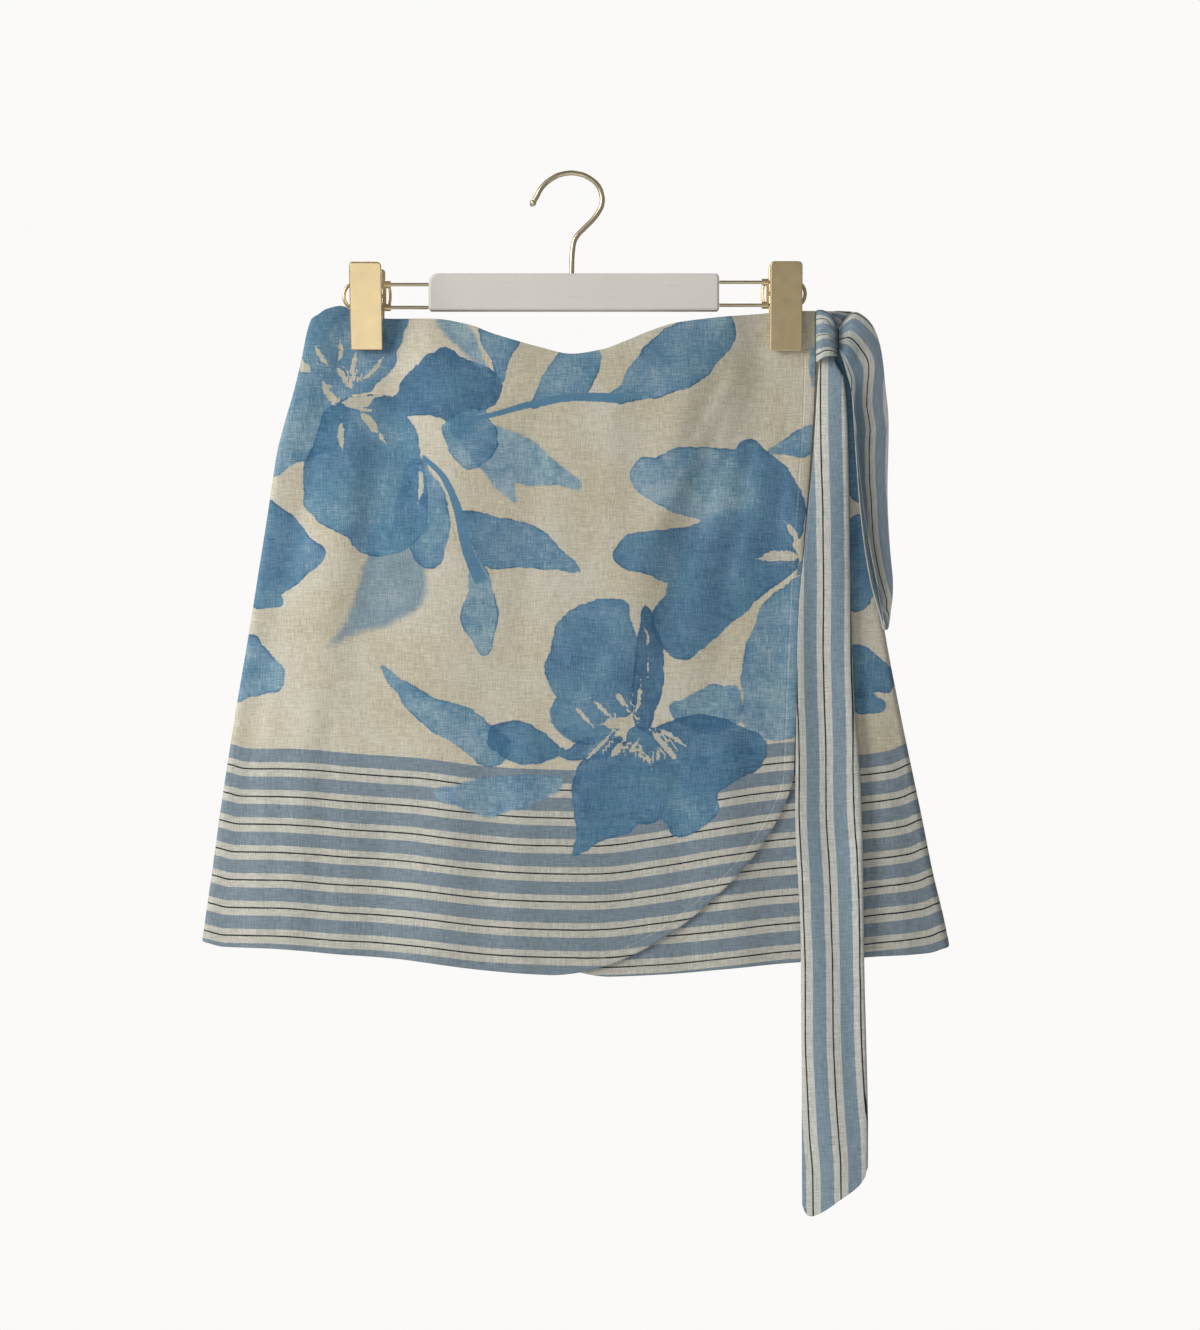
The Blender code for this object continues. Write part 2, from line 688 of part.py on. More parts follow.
def tie_loop():
    rows = table(LOOP_COLUMNS, LOOP)
    inner = np.stack([rows["ix"], rows["iy"], rows["iz"]], axis=1)
    outer = np.stack([rows["ox"], rows["oy"], rows["oz"]], axis=1)
    station = np.arange(len(inner), dtype=float)
    fine = np.linspace(0, len(inner) - 1, 2 * len(inner) - 1)
    inner = np.stack([smooth(fine, station, inner[:, k]) for k in range(3)], axis=1)
    outer = np.stack([smooth(fine, station, outer[:, k]) for k in range(3)], axis=1)
    share = np.linspace(0, 1, 9)
    centre = inner[:, None] * (1 - share)[None, :, None] + outer[:, None] * share[None, :, None]
    normal = -grid_normals(centre)
    behind = ramp((fine - LOOP_FOOT + 1.0) / 3.0)
    cup = LOOP_CUP + (LOOP_CUP_BEHIND - LOOP_CUP) * behind
    cup = cup * ramp(np.minimum(fine, fine[-1] - fine) / 3.0)
    bow = 4 * share * (1 - share)
    centre = centre + normal * (cup[:, None] * bow[None, :])[..., None]
    wall("tie_loop", centre, grid_normals(centre), TIE_WALL, "stripe_linen")


def tie_knot():
    rows = table(KNOT_COLUMNS, KNOT)
    station = np.arange(len(KNOT), dtype=float)
    fine = np.linspace(0, len(KNOT) - 1, 12)
    x, y, top, bottom = (smooth(fine, station, rows[c]) for c in ("x", "y", "top", "bottom"))
    share = np.linspace(0, 1, 16)
    centre = np.zeros((len(fine), len(share), 3))
    centre[..., 0] = x[:, None]
    centre[..., 1] = y[:, None]
    centre[..., 2] = top[:, None] * (1 - share) + bottom[:, None] * share
    pleat = KNOT_PLEAT_DEPTH * np.cos(2 * math.pi * KNOT_PLEATS * share)
    first, last = KNOT_PLEAT_ROWS
    deep = ramp(fine - first) * ramp(last - fine)
    centre = centre + grid_normals(centre) * (deep[:, None] * pleat[None, :])[..., None]
    wall("tie_knot", centre, grid_normals(centre), TIE_WALL, "stripe_linen")


# ---------------------------------------------------------------- the hanger


def along(points, count):
    """That many points, evenly spaced on a smooth curve through the given ones."""
    points = np.asarray(points, float)
    run = np.concatenate([[0], np.cumsum(np.linalg.norm(np.diff(points, axis=0), axis=1))])
    even = np.linspace(0, run[-1], count)
    return np.stack([smooth(even, run, points[:, k]) for k in range(points.shape[1])], axis=1)


def hanger_hook():
    """A question-mark hook with a small ball at its tip and its shank in the bar's top."""
    hook = table(HOOK_COLUMNS, HOOK)
    line = along(np.stack([hook["x"], hook["z"]], axis=1), HOOK_STEPS)
    back = unit(line[0] - line[1])
    ball = [line[0] + back * d for d in HOOK_BALL_RUN]
    path = np.concatenate([ball[::-1], line])
    path = np.stack([path[:, 0], np.zeros(len(path)), path[:, 1]], axis=1)
    radii = [*HOOK_BALL_RADII[::-1], HOOK_WIRE * 0.8] + [HOOK_WIRE] * (len(line) - 1)
    tube("hanger_hook", path, radii, 10, "gold_metal")


def hanger_bar():
    """The painted bar, with its upper corners rounded."""
    outline = rounded((BAR_LEFT, BAR_BOTTOM), (BAR_RIGHT, BAR_TOP), BAR_CORNERS, BAR_CORNER_STEPS)
    bevel(slab("hanger_bar", outline, -BAR_DEPTH / 2, BAR_DEPTH / 2, "painted_wood"), BAR_ROUND)


def hanger_loop(side):
    """The wire loop that carries a clip: out of the bar, round its end and back."""
    spec = SIDES[side]
    out = -spec["inward"]
    start = (BAR_LEFT if side == "left" else BAR_RIGHT) + out * FIT_GAP
    reach = LOOP_HALF_HEIGHT * LOOP_END_SHARE
    bend = spec["loop_end"] - out * reach
    run = np.linspace(start, bend, 5)
    z = spec["loop_z"]
    path = [(x, 0, z + LOOP_HALF_HEIGHT) for x in run]
    for k in range(1, LOOP_END_STEPS):
        a = math.pi * k / LOOP_END_STEPS
        path.append((bend + out * reach * math.sin(a), 0, z + LOOP_HALF_HEIGHT * math.cos(a)))
    path += [(x, 0, z - LOOP_HALF_HEIGHT) for x in run[::-1]]
    tube(f"hanger_loop_{side}", path, [LOOP_WIRE] * len(path), 8, "gold_metal")


def rod(name, start, end, radius, sides=12):
    path = [np.array(start, float) * (1 - t) + np.array(end, float) * t for t in (0.0, 1.0)]
    return tube(name, path, [radius] * 2, sides, "gold_metal")


def clip_arm(side, face, facing):
    """One of a clip's two arms: a leaning plate, with a lip at the cloth and two ears on the pin. facing is
    -1 in front and 1 behind, and face is the Y of the cloth that the lip presses."""
    spec = SIDES[side]
    x, z, tilt = spec["clip_x"], spec["clip_z"], math.radians(spec["tilt"])
    foot_z = z - CLIP_LENGTH / 2 * math.cos(tilt)
    foot = face + facing * (FIT_GAP + PAD_DEPTH + CLIP_PLATE / 2)
    middle = foot + facing * CLIP_LENGTH / 2 * math.sin(tilt)
    which = "front" if facing < 0 else "back"
    name = f"clip_{side}_{which}"
    low = (x - CLIP_WIDTH / 2, z - CLIP_LENGTH / 2)
    high = (x + CLIP_WIDTH / 2, z + CLIP_LENGTH / 2)
    outline = rounded(low, high, CLIP_CORNERS, CLIP_CORNER_STEPS)
    near, far = middle - CLIP_PLATE / 2, middle + CLIP_PLATE / 2
    arm = slab(name, outline, near, far, "gold_metal", tilt=-facing * spec["tilt"])
    bevel(arm, CLIP_ROUND)
    y_near, y_far = sorted((face + facing * FIT_GAP, foot))
    lip_low = (x - PAD_HALF_WIDTH, y_near, foot_z + PAD_LOW)
    lip_high = (x + PAD_HALF_WIDTH, y_far, foot_z + PAD_HIGH)
    boolean(arm, "UNION", box(name + "_lip", lip_low, lip_high, "gold_metal"))
    pin_z = spec["loop_z"]
    plate_y = middle + facing * (pin_z - z) * math.tan(tilt)
    y_near, y_far = sorted((-facing * EAR_REACH, plate_y))
    for way in (-1, 1):
        x_near, x_far = sorted((x + way * EAR_INSET[which], x + way * (EAR_INSET[which] + EAR_THICK)))
        ear_low = (x_near, y_near, pin_z - EAR_HALF_HEIGHT)
        ear_high = (x_far, y_far, pin_z + EAR_HALF_HEIGHT)
        boolean(arm, "UNION", box(f"{name}_ear_{'ab'[way > 0]}", ear_low, ear_high, "gold_metal"))
    ends = [(x + way * CLIP_WIDTH, 0, pin_z) for way in (-1, 1)]
    boolean(arm, "DIFFERENCE", rod(name + "_hole", *ends, PIN_RADIUS + FIT_GAP))


def clip_spring(side):
    """The spring barrel on its pin, and the slide that hooks it to both runs of the wire loop."""
    spec = SIDES[side]
    x, z, inward = spec["clip_x"], spec["loop_z"], spec["inward"]
    ends = [(x + way * SPRING_HALF_LENGTH, 0, z) for way in (-1, 1)]
    barrel = rod(f"clip_{side}_spring", *ends, SPRING_RADIUS, 16)
    cheek_x = x + inward * CHEEK_AWAY
    pin_start = (x - inward * (EAR_INSET["front"] + EAR_THICK + FIT_GAP * 1.5), 0, z)
    boolean(barrel, "UNION", rod(f"pin_{side}", pin_start, (cheek_x, 0, z), PIN_RADIUS))
    cheek_half = np.array([CHEEK_HALF_THICK, CHEEK_HALF_DEPTH, LOOP_HALF_HEIGHT])
    cheek_middle = np.array([cheek_x, 0, z])
    cheek = box(f"cheek_{side}", cheek_middle - cheek_half, cheek_middle + cheek_half, "gold_metal")
    boolean(barrel, "UNION", cheek)
    runs = {"low": z - LOOP_HALF_HEIGHT, "high": z + LOOP_HALF_HEIGHT}
    for tag, run_z in runs.items():
        start = (cheek_x - inward * CHEEK_HALF_THICK, 0, run_z)
        end = (cheek_x + inward * SLEEVE_LENGTH, 0, run_z)
        boolean(barrel, "UNION", rod(f"sleeve_{side}_{tag}", start, end, SLEEVE_RADIUS, 14))
    bail = []
    for k in range(9):
        bow = BAIL_AWAY + BAIL_BOW * math.sin(math.pi * k / 8)
        bail.append((cheek_x + inward * bow, 0, z + LOOP_HALF_HEIGHT * (1 - k / 4) * 0.92))
    boolean(barrel, "UNION", tube(f"bail_{side}", bail, [BAIL_WIRE] * len(bail), 8, "gold_metal"))
    for tag, run_z in runs.items():
        ends = [(cheek_x + way * CHEEK_AWAY, 0, run_z) for way in (-1, 1)]
        boolean(barrel, "DIFFERENCE", rod(f"bore_{side}_{tag}", *ends, LOOP_WIRE + FIT_GAP, 12))


def clip_faces(side):
    """The Y of the cloth's front and back faces where a clip's pads press, taken at their proudest."""
    spec = SIDES[side]
    x = np.linspace(spec["clip_x"] - PAD_HALF_WIDTH, spec["clip_x"] + PAD_HALF_WIDTH, 7)
    foot_z = spec["clip_z"] - CLIP_LENGTH / 2 * math.cos(math.radians(spec["tilt"]))
    x, z = np.meshgrid(x, np.linspace(foot_z + PAD_LOW, foot_z + PAD_HIGH, 5))
    front = front_y(x, z)
    left = smooth(z, OUTLINE["z"], OUTLINE["left"])
    lift = OVERLAP_LIFT * ramp((x - left) / LIFT_RUN)
    return float((front - lift).min()) - WALL / 2, float(-front.min()) + WALL / 2


def clear_scene():
    for obj in list(bpy.data.objects):
        bpy.data.objects.remove(obj)


def main():
    clear_scene()
    back_panel()
    under_panel()
    over_panel()
    tie_knot()
    tie_loop()
    tie_tail()
    hanger_hook()
    hanger_bar()
    for side in SIDES:
        hanger_loop(side)
        clip_spring(side)
        front, back = clip_faces(side)
        clip_arm(side, front, -1)
        clip_arm(side, back, 1)


main()
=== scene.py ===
"""Looks for the wrap skirt on its clip hanger.

Printed and striped linen, stitching, gold metal and painted wood. Sizes and tables are in millimetres, in the
CAD model's frame: +X right as seen from the front, +Y back, +Z up, with the origin at the top of the hook's
inside. Meshes are written in metres.
"""

import math
from collections import namedtuple

import bmesh
import bpy
import numpy as np
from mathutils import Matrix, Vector


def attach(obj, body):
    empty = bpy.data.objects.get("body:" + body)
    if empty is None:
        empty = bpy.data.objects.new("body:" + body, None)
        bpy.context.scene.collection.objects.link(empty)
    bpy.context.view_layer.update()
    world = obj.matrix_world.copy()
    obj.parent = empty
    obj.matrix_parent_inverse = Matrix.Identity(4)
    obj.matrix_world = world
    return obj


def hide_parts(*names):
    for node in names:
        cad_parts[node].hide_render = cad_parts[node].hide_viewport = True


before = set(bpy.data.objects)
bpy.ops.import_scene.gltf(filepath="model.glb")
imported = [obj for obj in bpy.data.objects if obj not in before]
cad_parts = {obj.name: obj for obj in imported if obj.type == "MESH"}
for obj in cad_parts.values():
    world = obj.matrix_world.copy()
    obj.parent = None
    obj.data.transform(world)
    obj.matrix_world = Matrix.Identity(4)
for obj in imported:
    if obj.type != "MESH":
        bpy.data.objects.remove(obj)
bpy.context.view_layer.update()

MM = 0.001

# -------- sizes shared with the CAD model

SEAM_GAP = 0.3  # between two pieces that are sewn together
NORMAL_STEP = 0.0008  # the share of the skirt over which a wall's slope is taken
OVERLAP_LIFT = 2.3  # the over panel's wall centre lies this far outside the under panel's
LIFT_RUN = 55.0  # the over panel gains that lift over this distance from its side seam
FOLD_SHARE = 0.009  # side fold radius, as a share of the skirt's width
FOLD_FREE = 28.0  # folds and pinches are at full depth this far from a side fold
FOLD_SPREAD = 0.5  # how much wider a fold is at its end
FOLD_RISE = 0.3  # a fold gains its depth over this share of its length
FOLD_REACH = 1.25  # and is gone at this share of it
FOLD_FADE = 0.45  # having faded over this one
WAIST_BULGE = 6.0
HEM_BULGE = 19.0
BULGE_POWER = 0.8
HEM_SIDE = -520.0  # the hem's height beside the side folds, below which only the tie goes on
PINCH_GAP = 0.75  # half the distance between the front and back wall centres inside a clip
PINCH_HALF_WIDTH = 12.0
PINCH_RUN = 34.0  # across, from the clip's edge to full depth
PINCH_FLOOR = -124.0  # the cloth stays pinched down to here
PINCH_FADE = 120.0  # and is at full depth this much lower
CLIPS_X = (-138.4, 145.8)
TAIL_TURN_RADIUS = 1.4  # of the tail's turned edge
TAIL_CLEAR = 1.7  # from the skirt's outermost wall centre to the tail's
TAIL_TOP = -119.5
TAIL_TOP_Y = -8.6  # inside the knot
TAIL_SWAY = 0.8
TAIL_HOLD = (6.0, 36.0)  # this far below its top it leaves the knot, and this run later it rests on the skirt
LOOP_FOOT = 13  # the row of the loop's table where it turns back up
LOOP_CUP = 2.0  # the front run bows outward between its edges
LOOP_CUP_BEHIND = 0.6  # and the run behind by this much
PANEL_TOP, PANEL_FOOT = -95.0, -537.0  # the heights that a free edge's table is read between
CORNER_HEIGHT = 128.0
CORNER_RUN = 163.0
CORNER_POWER = 1.6
CORNER_DROP = 440.0  # from the waist to the hem, where the corner is laid out

# -------- sizes of the dressed cloth

CLOTH = 0.75  # a panel's single cloth, thinner than its CAD wall
TIE_CLOTH = 1.1
CLOTH_EDGE = (0.35, 1.2)  # a wall's edge starts this far up a ramp to its full thickness, of this run
TIE_EDGE = (0.45, 1.4)
HEM_TURN = 7.0  # the turned hem's and the facing's width
HEM_EXTRA = 0.5  # how much thicker the doubled cloth is
HEM_STEP = 1.6  # how far the doubled cloth takes to thin out
STITCH = 3.0  # a stitch and its space
SHARP = math.radians(50)  # faces that meet at more than this are shaded apart
WRAP_STEP = 2.0  # past the wrap edge, where the tail still leans on the over panel
SWAY_TURNS = (0.15, 0.014)  # of the tail's sway, in radians for each millimetre across and down it
KNOT_SHADE = (-136.0, 14.0)  # the tail darkens above this height, over this run
MAP_MARGIN = 0.005  # the free rim about each side in the texture map
TURN_STEPS = 6  # round a side fold
FLAT_STEPS, FLAP_STEPS, TAIL_TURN_STEPS = 28, 6, 10  # across the tail's front, its flap and the turn between
AT_ONCE = 8192  # places that are measured together


# -------- small helpers


def table(columns, rows):
    """The rows' columns by name, as arrays."""
    return dict(zip(columns.split(), np.array(rows, float).T))


def smooth(x, xs, ys):
    """A cubic curve through the points (xs, ys) that never overshoots them. xs may fall or rise."""
    if xs[0] > xs[-1]:
        xs, ys = xs[::-1], ys[::-1]
    x = np.clip(x, xs[0], xs[-1])
    step = np.diff(xs)
    slope = np.diff(ys) / step
    same_way = slope[1:] * slope[:-1] > 0
    middle = np.where(same_way, 2 * slope[1:] * slope[:-1] / np.where(same_way, slope[1:] + slope[:-1], 1), 0)
    tangent = np.concatenate([slope[:1], middle, slope[-1:]])
    k = np.clip(np.searchsorted(xs, x, side="right") - 1, 0, len(step) - 1)
    t = (x - xs[k]) / step[k]
    return (
        ys[k] * (1 + 2 * t) * (1 - t) ** 2
        + ys[k + 1] * t * t * (3 - 2 * t)
        + step[k] * (tangent[k] * t * (1 - t) ** 2 + tangent[k + 1] * t * t * (t - 1))
    )


def column_at(rows, at, column):
    """A table's column, at places along its first one."""
    return smooth(at, next(iter(rows.values())), rows[column])


def curve(points, stations, at):
    """A smooth curve through points that stand at the given stations along it."""
    return np.stack([smooth(at, stations, axis) for axis in points.T], axis=1)


def ramp(x):
    """0 below 0, 1 above 1, and a smooth step between."""
    x = np.clip(x, 0, 1)
    return x * x * (3 - 2 * x)


def unit(v):
    return v / np.linalg.norm(v, axis=-1, keepdims=True)


def run_length(points, axis=0):
    """The distance travelled along a row of points, or an axis of a grid of them, from its first one."""
    step = np.linalg.norm(np.diff(points, axis=axis), axis=-1)
    start = np.zeros_like(np.take(step, [0], axis=axis))
    return np.concatenate([start, np.cumsum(step, axis=axis)], axis=axis)


# -------- tables of the skirt, the tie and the hook

SILHOUETTE = table("z left right", (
    (-90, -173.5, 182.6), (-105, -178.8, 186.8), (-125, -182.9, 190.4), (-146, -187.9, 193.4),
    (-167, -194.0, 195.8), (-187, -199.2, 197.8), (-227, -205.4, 201.8), (-268, -211.8, 206.8),
    (-309, -218.3, 212.8), (-370, -228.5, 224.4), (-432, -238.0, 237.3), (-473, -243.6, 245.5),
    (-514, -249.4, 255.0), (-530, -251.0, 257.5),
))
WAIST = table("across z", (
    (0.000, -98.0), (0.010, -94.9), (0.020, -91.4), (0.048, -88.9), (0.076, -92.8), (0.141, -97.6),
    (0.232, -98.4), (0.299, -102.4), (0.344, -108.3), (0.390, -113.4), (0.435, -118.0), (0.490, -122.3),
    (0.547, -119.3), (0.592, -113.2), (0.637, -106.5), (0.682, -101.4), (0.728, -98.9), (0.818, -95.4),
    (0.928, -92.4), (0.980, -92.6), (1.000, -94.4),
))
HEM = table("across z", (
    (0.00, -520.5), (0.03, -524.0), (0.09, -524.6), (0.19, -528.6), (0.27, -531.5), (0.38, -538.5),
    (0.46, -541.5), (0.54, -543.0), (0.62, -541.5), (0.70, -538.0), (0.78, -534.3), (0.89, -530.8),
    (0.97, -528.4), (1.00, -524.0),
))
FOLD_COLUMNS = "x_top z_top x_end z_end half_width depth"
FRONT_FOLDS = (
    (-112, -92, -150, -330, 13, -2.4), (-140, -128, -196, -560, 16, 2.6), (-162, -90, -226, -420, 9, -1.8),
    (-60, -112, -96, -420, 20, 1.8), (112, -94, 60, -330, 12, -2.6), (88, -100, 30, -350, 13, 2.0),
    (134, -122, 96, -360, 10, -2.2), (150, -124, 168, -560, 11, 2.2), (176, -120, 214, -560, 9, -1.6),
    (-75, -380, -92, -560, 15, 2.8), (-122, -400, -136, -560, 14, -2.6), (40, -380, 44, -560, 24, -2.2),
)
BACK_FOLDS = (
    (-108, -94, -128, -340, 14, -2.4), (-150, -120, -205, -560, 15, 2.8), (-52, -112, -70, -560, 22, 2.6),
    (6, -124, 10, -400, 20, -1.8), (62, -106, 84, -560, 20, 2.8), (110, -96, 132, -360, 13, -2.4),
    (152, -122, 190, -560, 15, 3.0), (-14, -400, -18, -560, 20, -2.6),
)
# Finer creases that only the dressed model has
FRONT_CREASES = (
    (133, -120, 84, -250, 5, -1.0), (120, -118, 62, -232, 5, 1.19), (141, -128, 110, -300, 6, 1.36),
    (150, -126, 140, -250, 4, -1.02), (-126, -126, -104, -240, 6, -1.36), (-146, -126, -150, -260, 6, 1.19),
    (-158, -118, -186, -260, 5, -1.19), (-20, -128, -34, -330, 9, -1.02), (30, -124, 26, -300, 9, 0.85),
    (-160, -330, -176, -540, 8, -1.36), (100, -330, 116, -560, 10, 1.53), (70, -360, 78, -560, 8, -1.19),
    (-30, -340, -40, -560, 10, 1.36), (-200, -300, -216, -560, 7, 1.19), (205, -300, 226, -560, 8, 1.36),
)
BACK_CREASES = (
    (-120, -126, -90, -260, 6, -1.53), (-146, -126, -164, -280, 6, 1.36), (128, -126, 96, -260, 6, -1.53),
    (152, -126, 172, -300, 6, 1.36), (-30, -128, -36, -360, 9, -1.36), (36, -128, 40, -330, 9, 1.19),
    (-96, -330, -104, -560, 8, 1.36), (118, -330, 126, -560, 9, -1.53), (-180, -300, -196, -560, 8, -1.36),
    (196, -300, 214, -560, 8, 1.36),
)
FOLDS = {
    "front": table(FOLD_COLUMNS, FRONT_FOLDS + FRONT_CREASES),
    "back": table(FOLD_COLUMNS, BACK_FOLDS + BACK_CREASES),
}

WRAP_EDGE = table("z x", (
    (-90, 166.6), (-130, 166.4), (-165, 165.0), (-210, 161.2), (-262, 157.0), (-340, 154.0), (-418, 151.0),
    (-545, 149.0),
))
UNDER_EDGE = table("z x", (
    (-90, -117.0), (-262, -126.0), (-418, -134.0), (-545, -138.0),
))
TAIL = table("z left right turned", (
    (-118, 169.6, 178.4, 7.0),
    (-127, 168.6, 179.4, 8.0),
    (-133, 167.4, 182.6, 10.0),
    (-139, 166.8, 185.2, 11.0),
    (-166, 165.2, 187.4, 12.0),
    (-187, 163.8, 188.1, 12.0),
    (-221, 160.4, 188.7, 12.0),
    (-262, 156.3, 189.2, 11.0),
    (-289, 153.8, 189.5, 9.5),
    (-316, 152.6, 190.2, 8.5),
    (-361, 151.9, 191.6, 7.0),
    (-398, 151.2, 194.4, 5.0),
    (-434, 151.0, 196.6, 4.0),
    (-472, 152.8, 197.4, 3.6),
    (-507, 154.4, 197.8, 3.4),
    (-560, 154.8, 198.6, 3.0),
    (-596, 155.2, 199.6, 2.4),
    (-660, 155.4, 200.9, 2.0),
    (-710, 155.8, 200.7, 1.8),
))
TAIL_END = table("across z", (
    (0.00, -697.0), (0.06, -703.5), (0.14, -705.0), (0.28, -703.0), (0.60, -694.0), (0.88, -685.5),
    (0.96, -681.5), (1.00, -678.5), (1.16, -674.0), (1.60, -671.0),
))
# The dark line near the middle of the tail, down its length
TAIL_LINE = table("z x", (
    (-120, 169.0), (-173, 169.4), (-228, 170.4), (-282, 171.2), (-316, 171.0), (-384, 172.6), (-425, 172.9),
    (-465, 174.8), (-510, 176.4), (-574, 177.2), (-629, 179.6), (-663, 182.0), (-710, 182.4),
))
LOOP = table("ix iy iz ox oy oz", (
    (182.1, -9.6, -121.0, 181.9, -8.6, -103.6),
    (184.0, -12.0, -126.0, 186.5, -9.8, -98.0),
    (185.4, -13.8, -130.5, 192.4, -9.2, -93.6),
    (186.6, -15.2, -136.0, 200.6, -7.4, -98.0),
    (188.4, -17.0, -143.0, 207.1, -4.4, -107.5),
    (189.8, -18.6, -151.0, 211.0, -1.2, -121.0),
    (191.2, -19.8, -163.0, 213.8, 2.2, -143.0),
    (192.6, -20.8, -181.0, 216.2, 4.6, -172.0),
    (196.0, -22.0, -216.0, 215.4, 5.0, -214.0),
    (201.0, -22.5, -250.0, 216.6, 3.0, -250.0),
    (206.6, -22.0, -279.0, 218.4, -1.0, -276.0),
    (208.6, -20.5, -291.0, 217.9, -3.5, -287.0),
    (210.3, -18.0, -299.0, 216.4, -5.0, -295.5),
    (211.6, -14.5, -308.4, 214.2, -7.5, -306.4),
    (210.0, -12.5, -302.0, 214.4, -4.0, -299.0),
    (207.0, -13.0, -292.0, 214.6, -0.5, -288.0),
    (203.0, -14.6, -278.0, 214.2, 2.5, -275.0),
    (198.0, -15.4, -249.0, 212.8, 5.0, -249.0),
    (194.4, -15.0, -214.0, 210.8, 6.5, -213.0),
    (192.2, -14.2, -181.0, 210.2, 6.5, -170.0),
    (190.4, -12.4, -152.0, 208.0, 5.0, -134.0),
    (188.4, -10.0, -136.0, 203.6, 2.4, -109.0),
    (186.4, -8.0, -127.0, 196.0, -1.6, -94.6),
    (184.8, -7.0, -121.0, 188.4, -4.6, -92.8),
    (182.6, -7.4, -108.0, 181.6, -7.4, -92.8),
    (178.4, -8.6, -102.0, 176.2, -9.0, -93.4),
))
# Where the strap's stripes fall across the folded loop, from its inner to its outer edge
LOOP_STRIPE = table("share stripe", (
    (0.00, -22.0), (0.08, -18.8), (0.14, -13.7), (0.36, -4.7), (0.50, 0.0), (0.63, 5.1), (0.86, 14.1),
    (0.93, 17.2), (1.00, 20.5),
))
# The dark line that shows on the front of the loop, down its length
LOOP_LINE = table("z x", (
    (-100, 205.5), (-108, 204.0), (-125, 203.0), (-138, 200.6), (-146, 199.6), (-156, 199.6), (-166, 201.0),
    (-173, 202.0), (-187, 201.3), (-207, 201.3), (-221, 202.3), (-241, 203.3), (-255, 204.7), (-272, 208.0),
    (-289, 212.8),
))
# How much closer the stripes look on the inner and outer side of that line
LOOP_SQUEEZE_IN = 1.45
LOOP_SQUEEZE_OUT = 1.2
KNOT = table("x y top bottom", (
    (166.7, -4.0, -92.8, -127.0),
    (166.8, -8.2, -92.6, -127.4),
    (167.4, -12.0, -92.6, -127.2),
    (169.8, -14.6, -92.8, -125.6),
    (173.6, -15.2, -94.6, -124.2),
    (177.2, -14.2, -99.4, -123.9),
    (179.6, -11.4, -105.4, -124.2),
    (180.4, -7.8, -109.0, -123.6),
))
KNOT_PLEATS = 3
KNOT_PLEAT_DEPTH = 0.9
KNOT_PLEAT_ROWS = (2.2, 6.2)  # the pleats run between these places in the table
# Where the strap's stripes fall on the bunched knot, from its top to its bottom
KNOT_STRIPE = table("share stripe", (
    (0.00, -12.0), (0.10, -4.8), (0.18, 0.0), (0.27, 4.6), (0.47, 14.4), (0.51, 19.0), (0.60, 23.6),
    (0.77, 33.0), (0.80, 35.0), (1.00, 42.0),
))

# The hook's centre line, from its tip over the crest to the bar
HOOK = table("x z", (
    (-25.0, -17.2), (-23.1, -13.9), (-21.8, -11.2), (-20.1, -8.5), (-17.7, -5.8), (-13.6, -2.6),
    (-7.5, 0.5), (0.0, 1.75), (7.5, 0.6), (14.0, -2.7), (17.6, -5.8), (20.1, -10.2), (21.4, -16.7),
    (20.8, -20.4), (18.7, -24.8), (14.6, -30.3), (9.2, -35.7), (4.1, -41.1), (2.2, -44.6), (1.3, -49.3),
    (0.7, -56.0), (0.4, -66.7),
))
HOOK_WIRE = 1.75  # radius, as the next is
HOOK_BALL = 2.3
BALL_START = 0.12  # the angle at which the ball's tip is closed
BALL_LEFT = (0.5, 0.75)  # the angles left out at its neck, along the hook and about it
BALL_GAP = 0.2  # past the wire's end
BALL_STEPS = 12
LOOP_WIRE = 1.2  # radius
LOOP_HALF_HEIGHT = 7.8
LOOP_END_SHARE = 0.75  # how round a wire loop's end is
LOOP_END_STEPS = 36
# Each wire loop: the bar's end, the loop's middle height and its far end
WIRE_LOOPS = {"left": (-96.6, -82.0, -154.4), "right": (100.6, -80.4, 159.2)}

# -------- print and stripes

STRIPE_PERIOD = 18.8
STRIPE_BLUE = 9.1  # the blue band's share of a period; the rest is cream with a dark line
STRIPE_LINE = 13.7  # the dark line's middle
STRIPE_LINE_HALF = 0.5
# How far above the hem the border's first band starts. The two fronts' stripes don't meet at the wrap edge.
BORDER_COLUMNS = "across height"
BORDER = {
    "over_panel": ((0.0, 134.3), (0.52, 139.1), (0.64, 143.4), (0.71, 145.8), (0.8, 147.7), (1.0, 149.0)),
    "under_panel": ((0.0, 131.0), (0.65, 133.4), (0.88, 135.0), (1.0, 138.2)),
    "back_panel": ((0.0, 134.3), (0.5, 136.6), (1.0, 138.2)),
}

